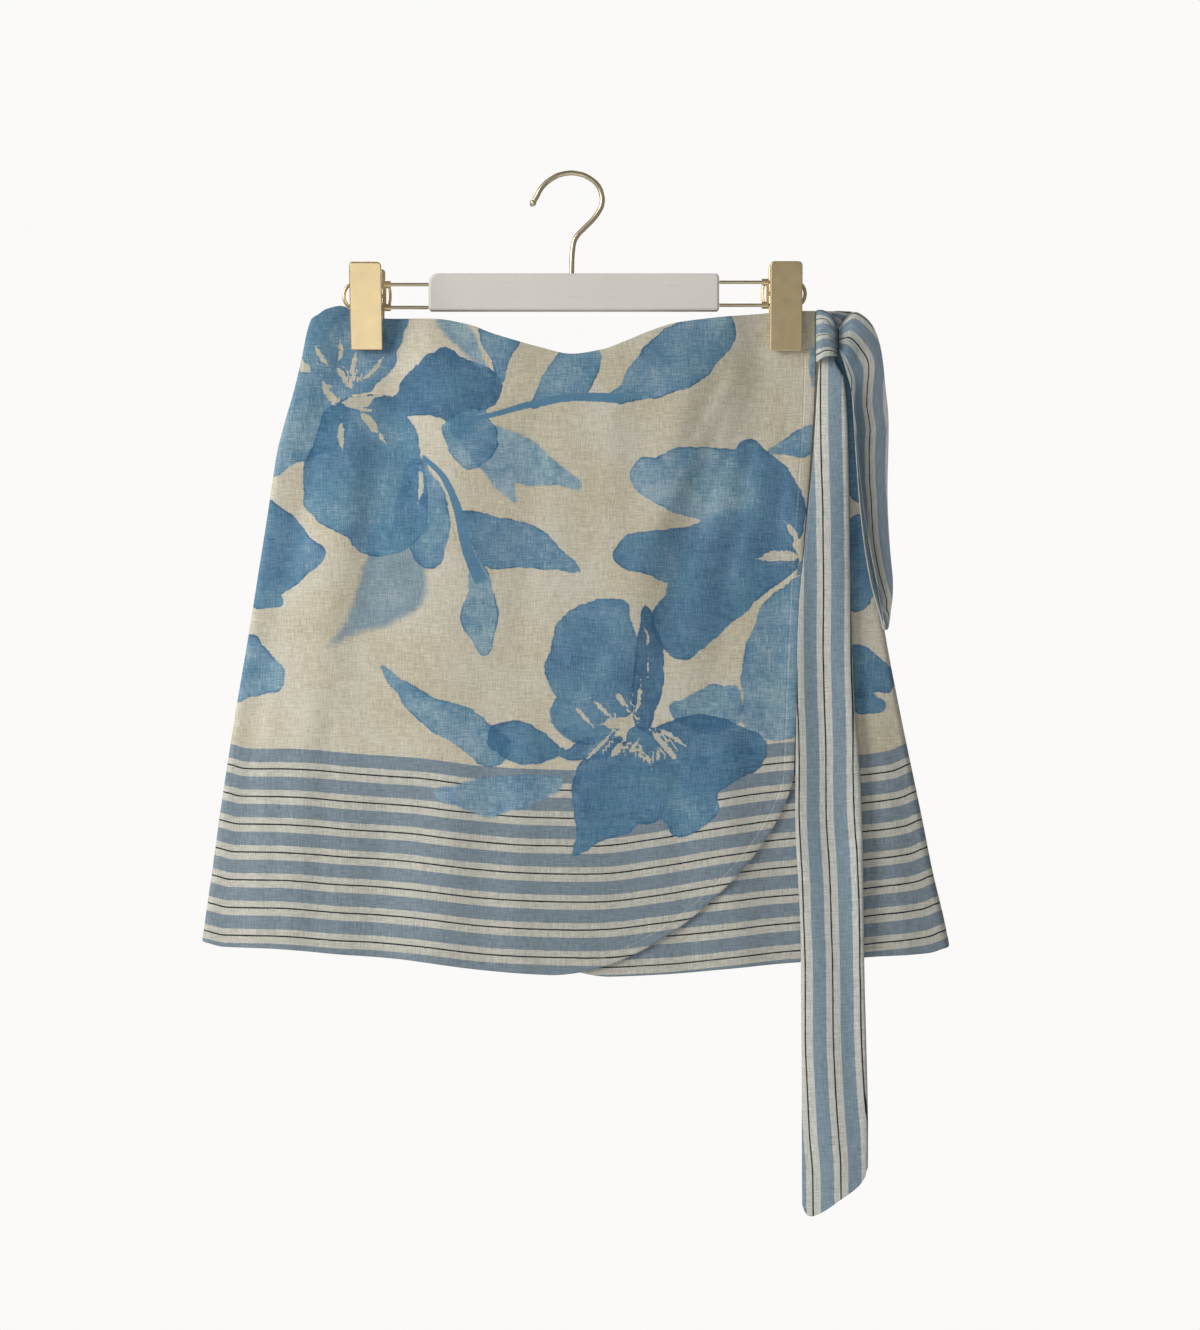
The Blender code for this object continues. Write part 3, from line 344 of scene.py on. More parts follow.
# Petals and leaves in painting order: where each starts and ends, how far it bends, its half widths at four
# places along its left and its right, how pointed its tip is, its tone at both ends (0 dark, 1 pale), how
# soft its edge is, and the bloom or leaf that it belongs to. Lobes of one group flow together.
Motif = namedtuple("Motif", "x z x_tip z_tip bend l1 l2 l3 l4 r1 r2 r3 r4 point tone tone_tip soft group")
OVER_PRINT = (
    (-111, -245, -164, -321, 0.06, 23, 30, 20, 5, 26, 19, 10, 4, 0.8, 0.36, 0.48, 3.0, 1),
    (-154, -144, -206, -204, -0.02, 15, 24, 20, 8, 34, 44, 41, 20, 0.6, 0.54, 0.6, 0.4, 2),
    (-157, -142, -190, -89, 0.02, 18, 24, 27, 23, 18, 23, 23, 20, 0.5, 0.44, 0.42, 0.4, 2),
    (-148, -149, -135, -75, 0.02, 20, 30, 33, 31, 14, 27, 31, 27, 0.5, 0.46, 0.44, 0.4, 2),
    (-105, -192, -93, -268, -0.02, 8, 16, 18, 10, 10, 16, 19, 12, 0.5, 0.46, 0.52, 0.5, 3),
    (-148, -151, -124, -259, 0.02, 30, 37, 32, 31, 27, 41, 50, 24, 0.42, 0.28, 0.5, 0.4, 4),
    (-124, -162, -46, -143, 0.05, 9, 18, 27, 15, 6, 14, 24, 15, 0.8, 0.16, 0.1, 0.3, 4),
    (-105, -155, -80, -119, -0.02, 8, 14, 14, 9, 7, 12, 14, 10, 0.55, 0.14, 0.12, 0.3, 4),
    (-100, -151, -63, -161, 0.02, 6, 8, 8, 5, 7, 12, 10, 5, 0.7, 0.12, 0.12, 0.3, 4),
    (-114, -150, -89, -131, 0.02, 7, 10, 10, 6, 5, 8, 8, 6, 0.5, 0.18, 0.14, 0.3, 4),
    (-90, -96, -55, -138, 0.05, 7, 9, 7, 3, 6, 8, 6, 3, 0.8, 0.62, 0.68, 1.8, 6),
    (-52, -97, -48, -143, 0.02, 16, 16, 10, 4, 12, 12, 6, 3, 0.8, 0.48, 0.56, 0.3, 7),
    (-27, -159, 16, -114, -0.05, 4, 12, 16, 14, 4, 12, 17, 14, 0.6, 0.5, 0.6, 0.4, 8),
    (25, -153, 107, -93, -0.06, 4, 18, 22, 17, 8, 18, 20, 18, 0.5, 0.5, 0.56, 0.3, 9),
    (-81, -169, 8, -213, -0.02, 11, 15, 14, 7, 10, 19, 16, 5, 0.8, 0.7, 0.8, 1.0, 10),
    (-56, -195, -37, -224, 0.03, 8, 8, 7, 3, 8, 8, 6, 3, 0.9, 0.66, 0.74, 1.0, 10),
    (-82, -166, -56, -195, 0.02, 12, 21, 20, 14, 10, 16, 18, 14, 0.5, 0.56, 0.6, 0.4, 11),
    (-75, -229, 7, -270, 0.04, 3, 7, 10, 5, 15, 28, 19, 7, 0.9, 0.42, 0.54, 0.3, 12),
    (-63, -259, -58, -327, -0.02, 5, 10, 12, 8, 5, 7, 13, 7, 0.6, 0.66, 0.74, 0.3, 12),
    (-233, -251, -165, -257, 0.03, 23, 30, 22, 7, 30, 37, 30, 14, 0.8, 0.36, 0.4, 0.3, 13),
    (-228, -280, -195, -291, 0.02, 10, 11, 9, 5, 7, 10, 9, 5, 0.5, 0.4, 0.44, 0.3, 13),
    (-241, -335, -194, -344, 0.05, 20, 24, 19, 11, 22, 23, 18, 10, 0.6, 0.52, 0.56, 0.3, 14),
    (160, -261, 131, -384, 0.04, 18, 30, 31, 24, 7, 29, 31, 24, 0.5, 0.56, 0.64, 0.6, 15),
    (116, -357, 66, -362, 0.04, 15, 18, 16, 10, 12, 14, 12, 6, 0.6, 0.54, 0.6, 0.8, 15),
    (135, -221, 40, -202, 0.03, 16, 20, 19, 16, 18, 30, 31, 14, 0.6, 0.54, 0.76, 0.3, 16),
    (149, -251, 118, -180, 0.03, 16, 22, 16, 11, 14, 23, 20, 11, 0.5, 0.18, 0.28, 0.3, 16),
    (150, -248, 28, -261, 0.02, 15, 24, 24, 10, 18, 24, 17, 18, 0.7, 0.3, 0.4, 0.3, 16),
    (148, -249, 63, -323, 0.02, 16, 14, 15, 16, 23, 35, 38, 29, 0.45, 0.12, 0.28, 0.3, 16),
    (169, -178, 132, -188, 0.04, 11, 10, 6, 3, 10, 10, 6, 3, 0.8, 0.52, 0.62, 0.5, 26),
    (165, -116, 164, -146, 0.0, 3, 3, 3, 2, 3, 3, 3, 2, 0.5, 0.72, 0.66, 1.2, 26),
    (-43, -396, -129, -332, 0.05, 12, 10, 10, 5, 14, 16, 9, 4, 0.9, 0.5, 0.6, 0.5, 18),
    (-2, -393, -57, -381, 0.03, 3, 10, 12, 8, 5, 12, 18, 14, 0.6, 0.28, 0.3, 0.4, 19),
    (-5, -411, -93, -419, 0.03, 8, 15, 18, 8, 7, 10, 10, 5, 0.6, 0.55, 0.66, 1.2, 20),
    (33, -376, -13, -359, 0.04, 8, 15, 18, 14, 5, 11, 12, 10, 0.6, 0.38, 0.46, 0.8, 22),
    (35, -368, -3, -355, 0.04, 7, 15, 18, 14, 5, 12, 14, 10, 0.5, 0.34, 0.4, 0.5, 22),
    (37, -368, 10, -291, 0.04, 27, 37, 35, 26, 10, 19, 29, 29, 0.42, 0.28, 0.38, 0.4, 22),
    (50, -384, 84, -446, 0.02, 20, 35, 37, 23, 8, 12, 20, 16, 0.45, 0.28, 0.44, 0.5, 23),
    (48, -381, 133, -388, 0.04, 6, 13, 14, 9, 12, 33, 35, 20, 0.5, 0.22, 0.24, 0.3, 23),
    (39, -385, 1, -462, 0.03, 15, 27, 24, 8, 18, 27, 18, 5, 0.95, 0.28, 0.32, 0.3, 23),
    (44, -374, 48, -440, 0.0, 7, 14, 18, 18, 7, 14, 18, 18, 0.35, 0.24, 0.32, 0.3, 23),
    (37, -385, -7, -395, 0.03, 5, 6, 5, 3, 6, 11, 10, 5, 0.6, 0.36, 0.34, 0.3, 19),
    (48, -377, 50, -293, 0.02, 6, 6, 4, 3, 8, 16, 16, 8, 0.8, 0.12, 0.14, 0.3, 25),
)
UNDER_PRINT = (
    (150, -338, 220, -347, 0.06, 16, 20, 20, 13, 12, 15, 12, 8, 0.6, 0.34, 0.36, 0.3, 1),
    (160, -348, 214, -361, -0.04, 12, 14, 11, 6, 8, 8, 8, 6, 0.4, 0.34, 0.38, 0.3, 1),
    (203, -230, 190, -297, 0.02, 14, 18, 17, 10, 14, 16, 14, 8, 0.6, 0.34, 0.36, 0.3, 2),
    (186, -100, 198, -223, 0.06, 12, 18, 18, 14, 12, 18, 16, 12, 0.4, 0.34, 0.38, 0.3, 5),
    (179, -261, 182, -294, -0.05, 8, 11, 11, 7, 8, 11, 11, 7, 0.6, 0.36, 0.4, 0.3, 2),
    (244, -261, 227, -207, 0.05, 14, 20, 19, 10, 14, 20, 19, 10, 0.6, 0.4, 0.46, 0.3, 3),
    (88, -166, 47, -234, 0.05, 18, 27, 26, 14, 16, 27, 27, 15, 0.6, 0.34, 0.4, 0.3, 4),
    (101, -193, 129, -289, -0.05, 19, 29, 27, 14, 18, 29, 27, 15, 0.6, 0.32, 0.4, 0.3, 5),
    (-7, -289, -69, -261, 0.05, 14, 23, 23, 11, 16, 24, 20, 10, 0.6, 0.36, 0.45, 0.3, 6),
    (-7, -295, -35, -377, 0.05, 18, 27, 27, 14, 16, 27, 24, 14, 0.6, 0.36, 0.45, 0.3, 6),
)
BACK_EXTRA = (
    (-190, -150, -226, -190, 0.05, 12, 22, 20, 10, 14, 22, 18, 8, 0.6, 0.36, 0.44, 0.4, 40),
    (-196, -420, -150, -450, 0.05, 10, 18, 18, 10, 12, 20, 18, 8, 0.6, 0.34, 0.5, 0.4, 41),
)
# Stems: a row of points and the half width at each end
STEMS = (
    (((34, -152.6), (6, -151.6), (-26, -156.4), (-52, -163.5), (-76, -168.6)), 3.4, 1.4),
    (((-100, -192), (-86, -206), (-77, -226), (-70.6, -252), (-65.5, -266), (-60.5, -276)), 1.5, 4.6),
)
# Strokes of bare cloth at the hearts of the blooms: x and z of three points, and the half width
SPARED = (
    (-156, -155, -145, -155, -133, -151, 3.8), (-135, -151, -124, -144, -116, -139, 2.9),
    (-143, -161, -136, -169, -131, -176, 2.9), (-139, -169, -131, -176, -125, -183, 1.5),
    (-156, -168, -156, -177, -155, -186, 2.2), (-160, -157, -165, -149, -169, -139, 2.0),
    (-174, -116, -170, -123, -165, -130, 1.6), (-157, -113, -156, -120, -158, -126, 1.6),
    (-150, -138, -148, -130, -146, -121, 1.5), (-143, -140, -135, -134, -127, -123, 1.4),
    (-153, -143, -155, -136, -160, -130, 1.6), (-149, -146, -150, -142, -146, -136, 1.6),
    (-187, -124, -182, -130, -176, -134, 2.9), (-167, -144, -163, -150, -157, -153, 1.6),
    (-102, -200, -101, -211, -103, -222, 1.8), (21, -373, 29, -372, 41, -372, 3.7),
    (28, -369, 22, -363, 15, -357, 1.4), (14, -373, 9, -368, 3, -361, 1.3),
    (36, -361, 34, -357, 31, -351, 1.8), (43, -366, 46, -357, 47, -345, 1.2),
    (39, -365, 38, -361, 37, -359, 0.9), (27, -379, 20, -387, 10, -397, 1.4),
    (35, -384, 32, -389, 27, -395, 2.4), (45, -384, 42, -389, 39, -392, 1.5),
    (46, -385, 47, -391, 47, -397, 1.1), (54, -377, 63, -387, 73, -399, 2.0),
    (59, -376, 68, -381, 78, -388, 1.5), (50, -393, 52, -396, 54, -402, 1.4),
    (58, -389, 59, -393, 58, -398, 1.1), (50, -309, 52, -314, 51, -320, 1.1),
    (52, -329, 52, -335, 52, -341, 0.6), (145, -236, 150, -243, 155, -252, 1.9),
    (127, -261, 139, -259, 156, -260, 3.5), (145, -279, 150, -274, 155, -272, 0.6),
)
LAYERS = 10
FAR = -40.0  # a signed distance that is well outside every motif
FAR_ASIDE = 99.0  # a side distance that is well away from every stroke
STROKE_REACH = 3.2  # how far past its half width a stroke is drawn
MOTIF_REACH = 7.0  # how far a motif's noisy edge can move it out
MOTIF_MARGIN = 14.0  # the rim about a motif within which places are measured
PULL_LIMIT = 30.0  # how deep inside a lobe its pull on the tones stops growing
TONES_MEET = 5.0  # how far the tones of one group's lobes run into each other
BACK_MOVE = (36.0, -14.0)  # how far the back's print is moved over
WIDTH_PLACES = (0.1, 0.35, 0.6, 0.85)  # where along a motif its half widths are given
WAVE_SIZES = (0.055, 0.04, 0.018)  # a motif's uneven sides, as shares of its width
WAVE_TURNS = (6.0, 13.0, 27.0)  # and how many radians of each wave it has


# -------- the hanging cloth

FOLD_TURN = FOLD_SHARE * np.linspace(0, 1, TURN_STEPS, endpoint=False)  # across values round a side fold


def folds(side, x, z):
    """How far the folds and creases move a wall outward at (x, z)."""
    moved = np.zeros_like(x)
    for x_top, z_top, x_end, z_end, half_width, depth in zip(*FOLDS[side].values()):
        down = (z_top - z) / (z_top - z_end)
        centre = x_top + (x_end - x_top) * down
        spread = half_width * (1 + FOLD_SPREAD * np.clip(down, 0, 1))
        along = ramp(down / FOLD_RISE) * ramp((FOLD_REACH - down) / FOLD_FADE)
        moved += depth * along * np.exp(-(((x - centre) / spread) ** 2))
    return moved


def pinch(x, z):
    """1 where a clip holds the walls together, falling to 0 away from it."""
    held = np.zeros_like(x)
    for clip_x in CLIPS_X:
        fall = np.clip((PINCH_FLOOR - z) / PINCH_FADE, 0, 1)
        away = (np.abs(x - clip_x) - PINCH_HALF_WIDTH * (1 - 0.5 * fall)) / (PINCH_RUN * (1 + fall))
        held = np.maximum(held, (1 - ramp(away)) * (1 - ramp(fall)))
    return held


def left_and_width(z):
    """The skirt's left side and its width at height z."""
    left = column_at(SILHOUETTE, z, "left")
    return left, column_at(SILHOUETTE, z, "right") - left


def waist_and_hem(across):
    """The heights of the waist and the hem."""
    return column_at(WAIST, across, "z"), column_at(HEM, across, "z")


def cloth(side, across, down):
    """The wall's centre. across runs 0 to 1 from the left side fold to the right one, and down from the waist
    to the hem. Beyond 0 or 1 it goes on round the fold."""
    waist, hem = waist_and_hem(across)
    z = waist * (1 - down) + hem * down
    left, width = left_and_width(z)
    nearest = np.minimum(across, 1 - across)
    turn = np.minimum(nearest / FOLD_SHARE, 1) * math.pi / 2
    share = np.where(nearest < FOLD_SHARE, FOLD_SHARE * (1 - np.cos(turn)), nearest)
    share = np.where(across > 0.5, 1 - share, share)
    x = left + width * share
    bulge = WAIST_BULGE + (HEM_BULGE - WAIST_BULGE) * np.clip(down, 0, 1) ** BULGE_POWER
    body = np.sin(math.pi * np.clip(share, 0, 1))
    inside = ramp(nearest * width / FOLD_FREE)
    depth = FOLD_SHARE * width * np.sin(turn) + bulge * body + folds(side, x, z) * inside
    held = pinch(x, z) * inside
    y = SEAM_GAP / 2 + depth * (1 - held) + (PINCH_GAP - SEAM_GAP / 2) * held
    return np.stack([x, -y if side == "front" else y, z], axis=-1)


def outward(side, across, down):
    """The wall's unit normal, away from the hollow."""
    e = NORMAL_STEP
    along = cloth(side, across + e, down) - cloth(side, across - e, down)
    below = cloth(side, across, down + e) - cloth(side, across, down - e)
    return unit(np.cross(along, below)) * (1 if side == "back" else -1)


def share_of(x, z):
    """The across value of a point x on the line at height z."""
    left, width = left_and_width(z)
    return (x - left) / width


def edge_share(edge, way, down):
    """The across value of a front panel's free edge at each down value, rounded corner included. way is 1 for
    an edge at the panel's right and -1 for one at its left."""
    z = PANEL_TOP + down * (PANEL_FOOT - PANEL_TOP)
    height = np.clip((1 - down) * CORNER_DROP, 0, CORNER_HEIGHT)
    rest = 1 - height / CORNER_HEIGHT
    inset = CORNER_RUN * (1 - (1 - rest**CORNER_POWER) ** (1 / CORNER_POWER))
    return share_of(column_at(edge, z, "x") - way * inset, z)


# -------- meshes


def linked(name, data):
    """A new object in the scene."""
    obj = bpy.data.objects.new(name, data)
    bpy.context.scene.collection.objects.link(obj)
    return obj


def new_object(name, vertices, faces, look):
    """A smooth object in metres from vertices in millimetres."""
    mesh = bpy.data.meshes.new(name)
    mesh.from_pydata([tuple(v) for v in np.asarray(vertices, float) * MM], [], faces)
    work = bmesh.new()
    work.from_mesh(mesh)
    bmesh.ops.recalc_face_normals(work, faces=work.faces)
    work.to_mesh(mesh)
    work.free()
    mesh.materials.append(look)
    mesh.shade_smooth()
    mesh.set_sharp_from_angle(angle=SHARP)
    return linked(name, mesh)


def vector_attribute(obj, name, values):
    """A vector for each vertex, which the materials read by name. Values for one side of a shell serve both
    sides."""
    sides = len(obj.data.vertices) // len(values)
    made = obj.data.attributes.new(name, "FLOAT_VECTOR", "POINT")
    made.data.foreach_set("vector", np.tile(values, (sides, 1)).astype(np.float32).ravel())


def shell(name, centre, normal, thickness, look):
    """A closed thin wall about a grid of centre points, with a thickness for each point."""
    rows, columns = centre.shape[:2]
    half = normal * thickness[..., None] / 2
    outer, inner = (centre + half).reshape(-1, 3), (centre - half).reshape(-1, 3)
    count = rows * columns
    at = np.arange(count).reshape(rows, columns)
    quads = np.stack([at[:-1, :-1], at[:-1, 1:], at[1:, 1:], at[1:, :-1]], axis=-1).reshape(-1, 4)
    rim = np.array([*at[0, :], *at[1:, -1], *at[-1, -2::-1], *at[-2:0:-1, 0]])
    after = np.roll(rim, -1)
    sides = np.stack([after, rim, rim + count, after + count], axis=-1)
    faces = np.concatenate([quads, quads[:, ::-1] + count, sides]).tolist()
    obj = new_object(name, np.concatenate([outer, inner]), faces, look)
    bake_map(obj, rows, columns)
    return obj


def bake_map(obj, rows, columns):
    """A tidy texture map: the outer side fills the left half, and the inner side the right."""
    mesh = obj.data
    down, across = np.meshgrid(np.linspace(0, 1, rows), np.linspace(0, 1, columns), indexing="ij")
    u = MAP_MARGIN + (0.5 - 3 * MAP_MARGIN) * across
    v = 1 - MAP_MARGIN - (1 - 2 * MAP_MARGIN) * down
    outer = np.stack([u, v], axis=-1).reshape(-1, 2)
    places = np.concatenate([outer, outer + (0.5 + MAP_MARGIN, 0.0)])
    corners = np.empty(len(mesh.loops), np.int32)
    mesh.loops.foreach_get("vertex_index", corners)
    layer = mesh.uv_layers.new(name="OFBake")
    layer.uv.foreach_set("vector", places[corners].astype(np.float32).ravel())


def grid_normals(centre):
    return unit(np.cross(np.gradient(centre, axis=1), np.gradient(centre, axis=0)))


# -------- drawing the print


def motif_outline(motif, seed):
    """A petal or leaf as a closed outline, and its spine."""
    draw = np.random.default_rng(seed)
    start, tip = np.array([motif.x, motif.z]), np.array([motif.x_tip, motif.z_tip])
    length = np.linalg.norm(tip - start)
    ahead = (tip - start) / length
    aside = np.array([-ahead[1], ahead[0]])

    def spine_at(s):
        bow = 4 * motif.bend * length * s * (1 - s)
        return start + ahead * (length * s)[:, None] + aside * bow[:, None]

    s = 0.5 - 0.5 * np.cos(np.linspace(0, math.pi, 72))
    first, last = WIDTH_PLACES[0], WIDTH_PLACES[-1]
    root = np.sqrt(1 - np.clip((first - s) / first, 0, 1) ** 2)
    end = (1 - np.clip((s - last) / (1 - last), 0, 1) ** 2) ** motif.point
    left, right = (motif.l1, motif.l2, motif.l3, motif.l4), (motif.r1, motif.r2, motif.r3, motif.r4)
    sides = []
    for way, widths in ((1, left), (-1, right)):
        width = smooth(s, np.array(WIDTH_PLACES), np.array(widths)) * root * end
        phases = draw.uniform(0, 2 * math.pi, 3)
        turns = draw.uniform(0.8, 1.2, 3) * WAVE_TURNS
        wave = sum(size * np.sin(turn * s + phase) for size, turn, phase in zip(WAVE_SIZES, turns, phases))
        sides.append(spine_at(s) + aside * (way * width * (1 + wave))[:, None])
    return np.concatenate([sides[0], sides[1][-2:0:-1]]), spine_at(np.linspace(0, 1, 34))


def polygon_distance(points, outline):
    """Signed distance to an outline, above zero inside it."""
    a, b = outline, np.roll(outline, -1, axis=0)
    edge = b - a
    away = points[:, None] - a[None]
    t = np.clip((away * edge).sum(-1) / np.maximum((edge * edge).sum(-1), 1e-9), 0, 1)
    gap = np.sqrt(((away - t[..., None] * edge) ** 2).sum(-1).min(1))
    pz = points[:, 1:2]
    crosses = (a[:, 1] > pz) != (b[:, 1] > pz)
    rise = np.where(np.abs(edge[:, 1]) < 1e-9, 1e-9, edge[:, 1])
    x_at = a[:, 0] + (pz - a[:, 1]) * edge[:, 0] / rise
    inside = (crosses & (points[:, 0:1] < x_at)).sum(1) % 2 == 1
    return np.where(inside, gap, -gap)


def spine_place(points, spine):
    """How far along a spine each point lies, 0 to 1, and how far to its side."""
    nearest = ((points[:, None] - spine[None]) ** 2).sum(-1).argmin(1)
    k = np.clip(nearest, 1, len(spine) - 2)
    tangent = unit(spine[k + 1] - spine[k - 1])
    away = points - spine[k]
    step = np.linalg.norm(spine[-1] - spine[0]) / (len(spine) - 1)
    s = (k + (away * tangent).sum(-1) / step) / (len(spine) - 1)
    return s, tangent[:, 0] * away[:, 1] - tangent[:, 1] * away[:, 0]


def lobes_meet(lobes, others):
    return any(polygon_distance(a, b).max() > -MOTIF_REACH for a in lobes for b in others)


def layered(motifs):
    """The layer of each motif: its group's, above every earlier group that the group meets."""
    groups, levels = {}, {}
    for motif in motifs:
        groups.setdefault(motif.group, []).append(motif_outline(motif, 0)[0])
    for group, lobes in groups.items():
        met = [levels[g] for g in levels if lobes_meet(lobes, groups[g])]
        levels[group] = max(met, default=-1) + 1
    assert max(levels.values()) < LAYERS, levels
    return [levels[motif.group] for motif in motifs]


def draw_print(obj, places, rows, move, seed):
    """Writes the print onto an object's vertices, which lie at the given places on the flat cloth. Where the
    lobes of one group meet, their tones run into each other. Stems and hearts are moved over, or left out at
    None."""
    motifs = [Motif(*row) for row in rows]
    distance = np.full((LAYERS, len(places)), FAR)
    looks = np.zeros((LAYERS, len(places), 3))
    for k, (motif, layer) in enumerate(zip(motifs, layered(motifs))):
        outline, spine = motif_outline(motif, seed + k)
        low, high = outline.min(0) - MOTIF_MARGIN, outline.max(0) + MOTIF_MARGIN
        near = np.flatnonzero(((places > low) & (places < high)).all(1))
        if not len(near):
            continue
        gap = polygon_distance(places[near], outline)
        distance[layer, near] = np.maximum(distance[layer, near], gap)
        along = np.clip(spine_place(places[near], spine)[0], 0, 1)
        tone = motif.tone + (motif.tone_tip - motif.tone) * along
        pull = np.exp(np.clip(gap, -MOTIF_MARGIN, PULL_LIMIT) / TONES_MEET)
        looks[layer, near] += np.column_stack([pull, pull * tone, pull * motif.soft])
    for layer in range(LAYERS):
        pull, tone, soft = looks[layer].T
        share = 1 / np.maximum(pull, 1e-9)
        vector_attribute(obj, f"shape{layer}", np.column_stack([distance[layer], tone * share, soft * share]))
    moved = places if move is None else places - move
    vector_attribute(obj, "stem", stroke_places(moved, () if move is None else STEMS))
    hearts = [(np.reshape(points, (3, 2)), half, half) for *points, half in SPARED]
    vector_attribute(obj, "heart", stroke_places(moved, () if move is None else hearts))


def stroke_places(places, strokes):
    """For each place, how far along and aside of the nearest stroke it lies, and the stroke's half width.
    Beyond a stroke's own reach the side distance is large."""
    found = np.zeros((len(places), 3))
    best = np.full(len(places), np.inf)
    for points, half_start, half_end in strokes:
        points = np.array(points, float)
        run = run_length(points)
        spine = curve(points, run, np.linspace(0, run[-1], 24))
        s, t = spine_place(places, spine)
        half = half_start + (half_end - half_start) * np.clip(s, 0, 1)
        gap = np.sqrt(((places[:, None] - spine[None]) ** 2).sum(-1).min(1)) - half
        better = gap < best
        best[better] = gap[better]
        found[better] = np.stack([s, t, half], axis=-1)[better]
    found[best > STROKE_REACH, 1] = FAR_ASIDE
    return found


# -------- materials


class Value:
    """A number, colour or place among a material's nodes. A sum or product of values adds the node for it."""

    def __init__(self, graph, socket):
        self.graph = graph
        self.socket = socket

    def __add__(self, other):
        return self.graph.math("ADD", self, other)

    def __sub__(self, other):
        return self.graph.math("SUBTRACT", self, other)

    def __rsub__(self, other):
        return self.graph.math("SUBTRACT", other, self)

    def __mul__(self, other):
        return self.graph.math("MULTIPLY", self, other)

    def __mod__(self, other):
        return self.graph.math("FLOORED_MODULO", self, other)

    def __abs__(self):
        return self.graph.math("ABSOLUTE", self)

    __radd__ = __add__
    __rmul__ = __mul__

    def sine(self):
        return self.graph.math("SINE", self)

    def step(self, low, high):
        """0 below low and 1 above high, smooth between. low above high falls instead."""
        inputs = {"Value": self, "From Min": low, "From Max": high}
        return self.graph.node("ShaderNodeMapRange", inputs, interpolation_type="SMOOTHSTEP")


class Graph:
    """Short calls that add shader nodes to a material and join them."""

    def __init__(self, name):
        self.material = bpy.data.materials.new(name)
        self.material.use_nodes = True
        self.tree = self.material.node_tree

    def put(self, socket, value):
        """Joins a value to a socket, or sets a plain number or colour on it."""
        if isinstance(value, Value):
            self.tree.links.new(value.socket, socket)
        else:
            socket.default_value = value

    def node(self, kind, inputs, output=0, **settings):
        """One output of a new node, whose inputs are given by their names or numbers."""
        made = self.tree.nodes.new(kind)
        for name, setting in settings.items():
            setattr(made, name, setting)
        for key, value in inputs.items():
            self.put(made.inputs[key], value)
        return Value(self, made.outputs[output])

    def math(self, operation, *values):
        return self.node("ShaderNodeMath", dict(enumerate(values)), operation=operation)

    def mix(self, factor, a, b, blend="MIX"):
        return self.node("ShaderNodeMix", {0: factor, 6: a, 7: b}, 2, data_type="RGBA", blend_type=blend)

    def scaled(self, place, x, y, z=1.0):
        return self.node("ShaderNodeVectorMath", {0: place, 1: (x, y, z)}, operation="MULTIPLY")

    def noise(self, place, scale, detail=2.0, roughness=0.5):
        inputs = {"Vector": place, "Scale": scale, "Detail": detail, "Roughness": roughness}
        return self.node("ShaderNodeTexNoise", inputs, "Fac")

    def attribute(self, name):
        return self.node("ShaderNodeAttribute", {}, "Vector", attribute_name=name)

    def split(self, vector):
        """A vector's three numbers."""
        x = self.node("ShaderNodeSeparateXYZ", {0: vector})
        return [Value(self, output) for output in x.socket.node.outputs]

    def flat_place(self, x, y):
        return self.node("ShaderNodeCombineXYZ", {"X": x, "Y": y})

    def object_place(self):
        return self.node("ShaderNodeTexCoord", {}, "Object")

    def bump(self, height, strength, distance):
        return self.node("ShaderNodeBump", {"Height": height, "Strength": strength, "Distance": distance})

    def finish(self, **inputs):
        """Sets the shader's own sockets and gives back the material."""
        for name, value in inputs.items():
            self.put(self.tree.nodes["Principled BSDF"].inputs[name.replace("_", " ")], value)
        return self.material


def colour(red, green, blue):
    """A linear colour from one written as 0 to 255 for a screen."""
    parts = [c / 255 for c in (red, green, blue)]
    return (*[c / 12.92 if c <= 0.04045 else ((c + 0.055) / 1.055) ** 2.4 for c in parts], 1.0)


LINEN = colour(218, 211, 188)
LINEN_GREY = colour(214, 209, 196)
LINEN_DARK = colour(187, 180, 159)
LINE = colour(40, 43, 46)
PETAL_DARK = colour(60, 102, 137)
PETAL_MID = colour(93, 135, 165)
PETAL_PALE = colour(163, 185, 197)
# A cream and its dark threads, a blue and its dark threads
BORDER_BANDS = (colour(209, 207, 196), colour(178, 178, 170), colour(142, 156, 166), colour(111, 127, 140))
# The tie is of the border's striped cloth, its bands set lighter for the light it gets: painted light
TIE_BANDS = (colour(226, 227, 220), colour(198, 201, 195), colour(154, 174, 188), colour(124, 147, 163))


def weave(g, place):
    """Linen's uneven threads: (colour variation about 0.5, height). place is in millimetres on the cloth."""

    def threads(x, y, roughness=0.5):
        return g.noise(g.scaled(place, x, y), 1.0, 1.0, roughness)

    coarse = threads(1.15, 0.05) + threads(0.05, 1.15)
    fine = threads(2.8, 0.16) + threads(0.16, 2.8)
    slub_over = threads(0.05, 1.1, 0.4).step(0.66, 0.76)
    slub_down = threads(1.1, 0.05, 0.4).step(0.68, 0.78)
    yarn = coarse * 0.17 + fine * 0.33
    tone = yarn + slub_over * 0.05 - slub_down * 0.04
    u, v, _ = g.split(place)
    crossings = (u * 7.4).sine() * (v * 7.4).sine()
    return tone, yarn * 1.3 + crossings * 0.12 + slub_over * 0.3


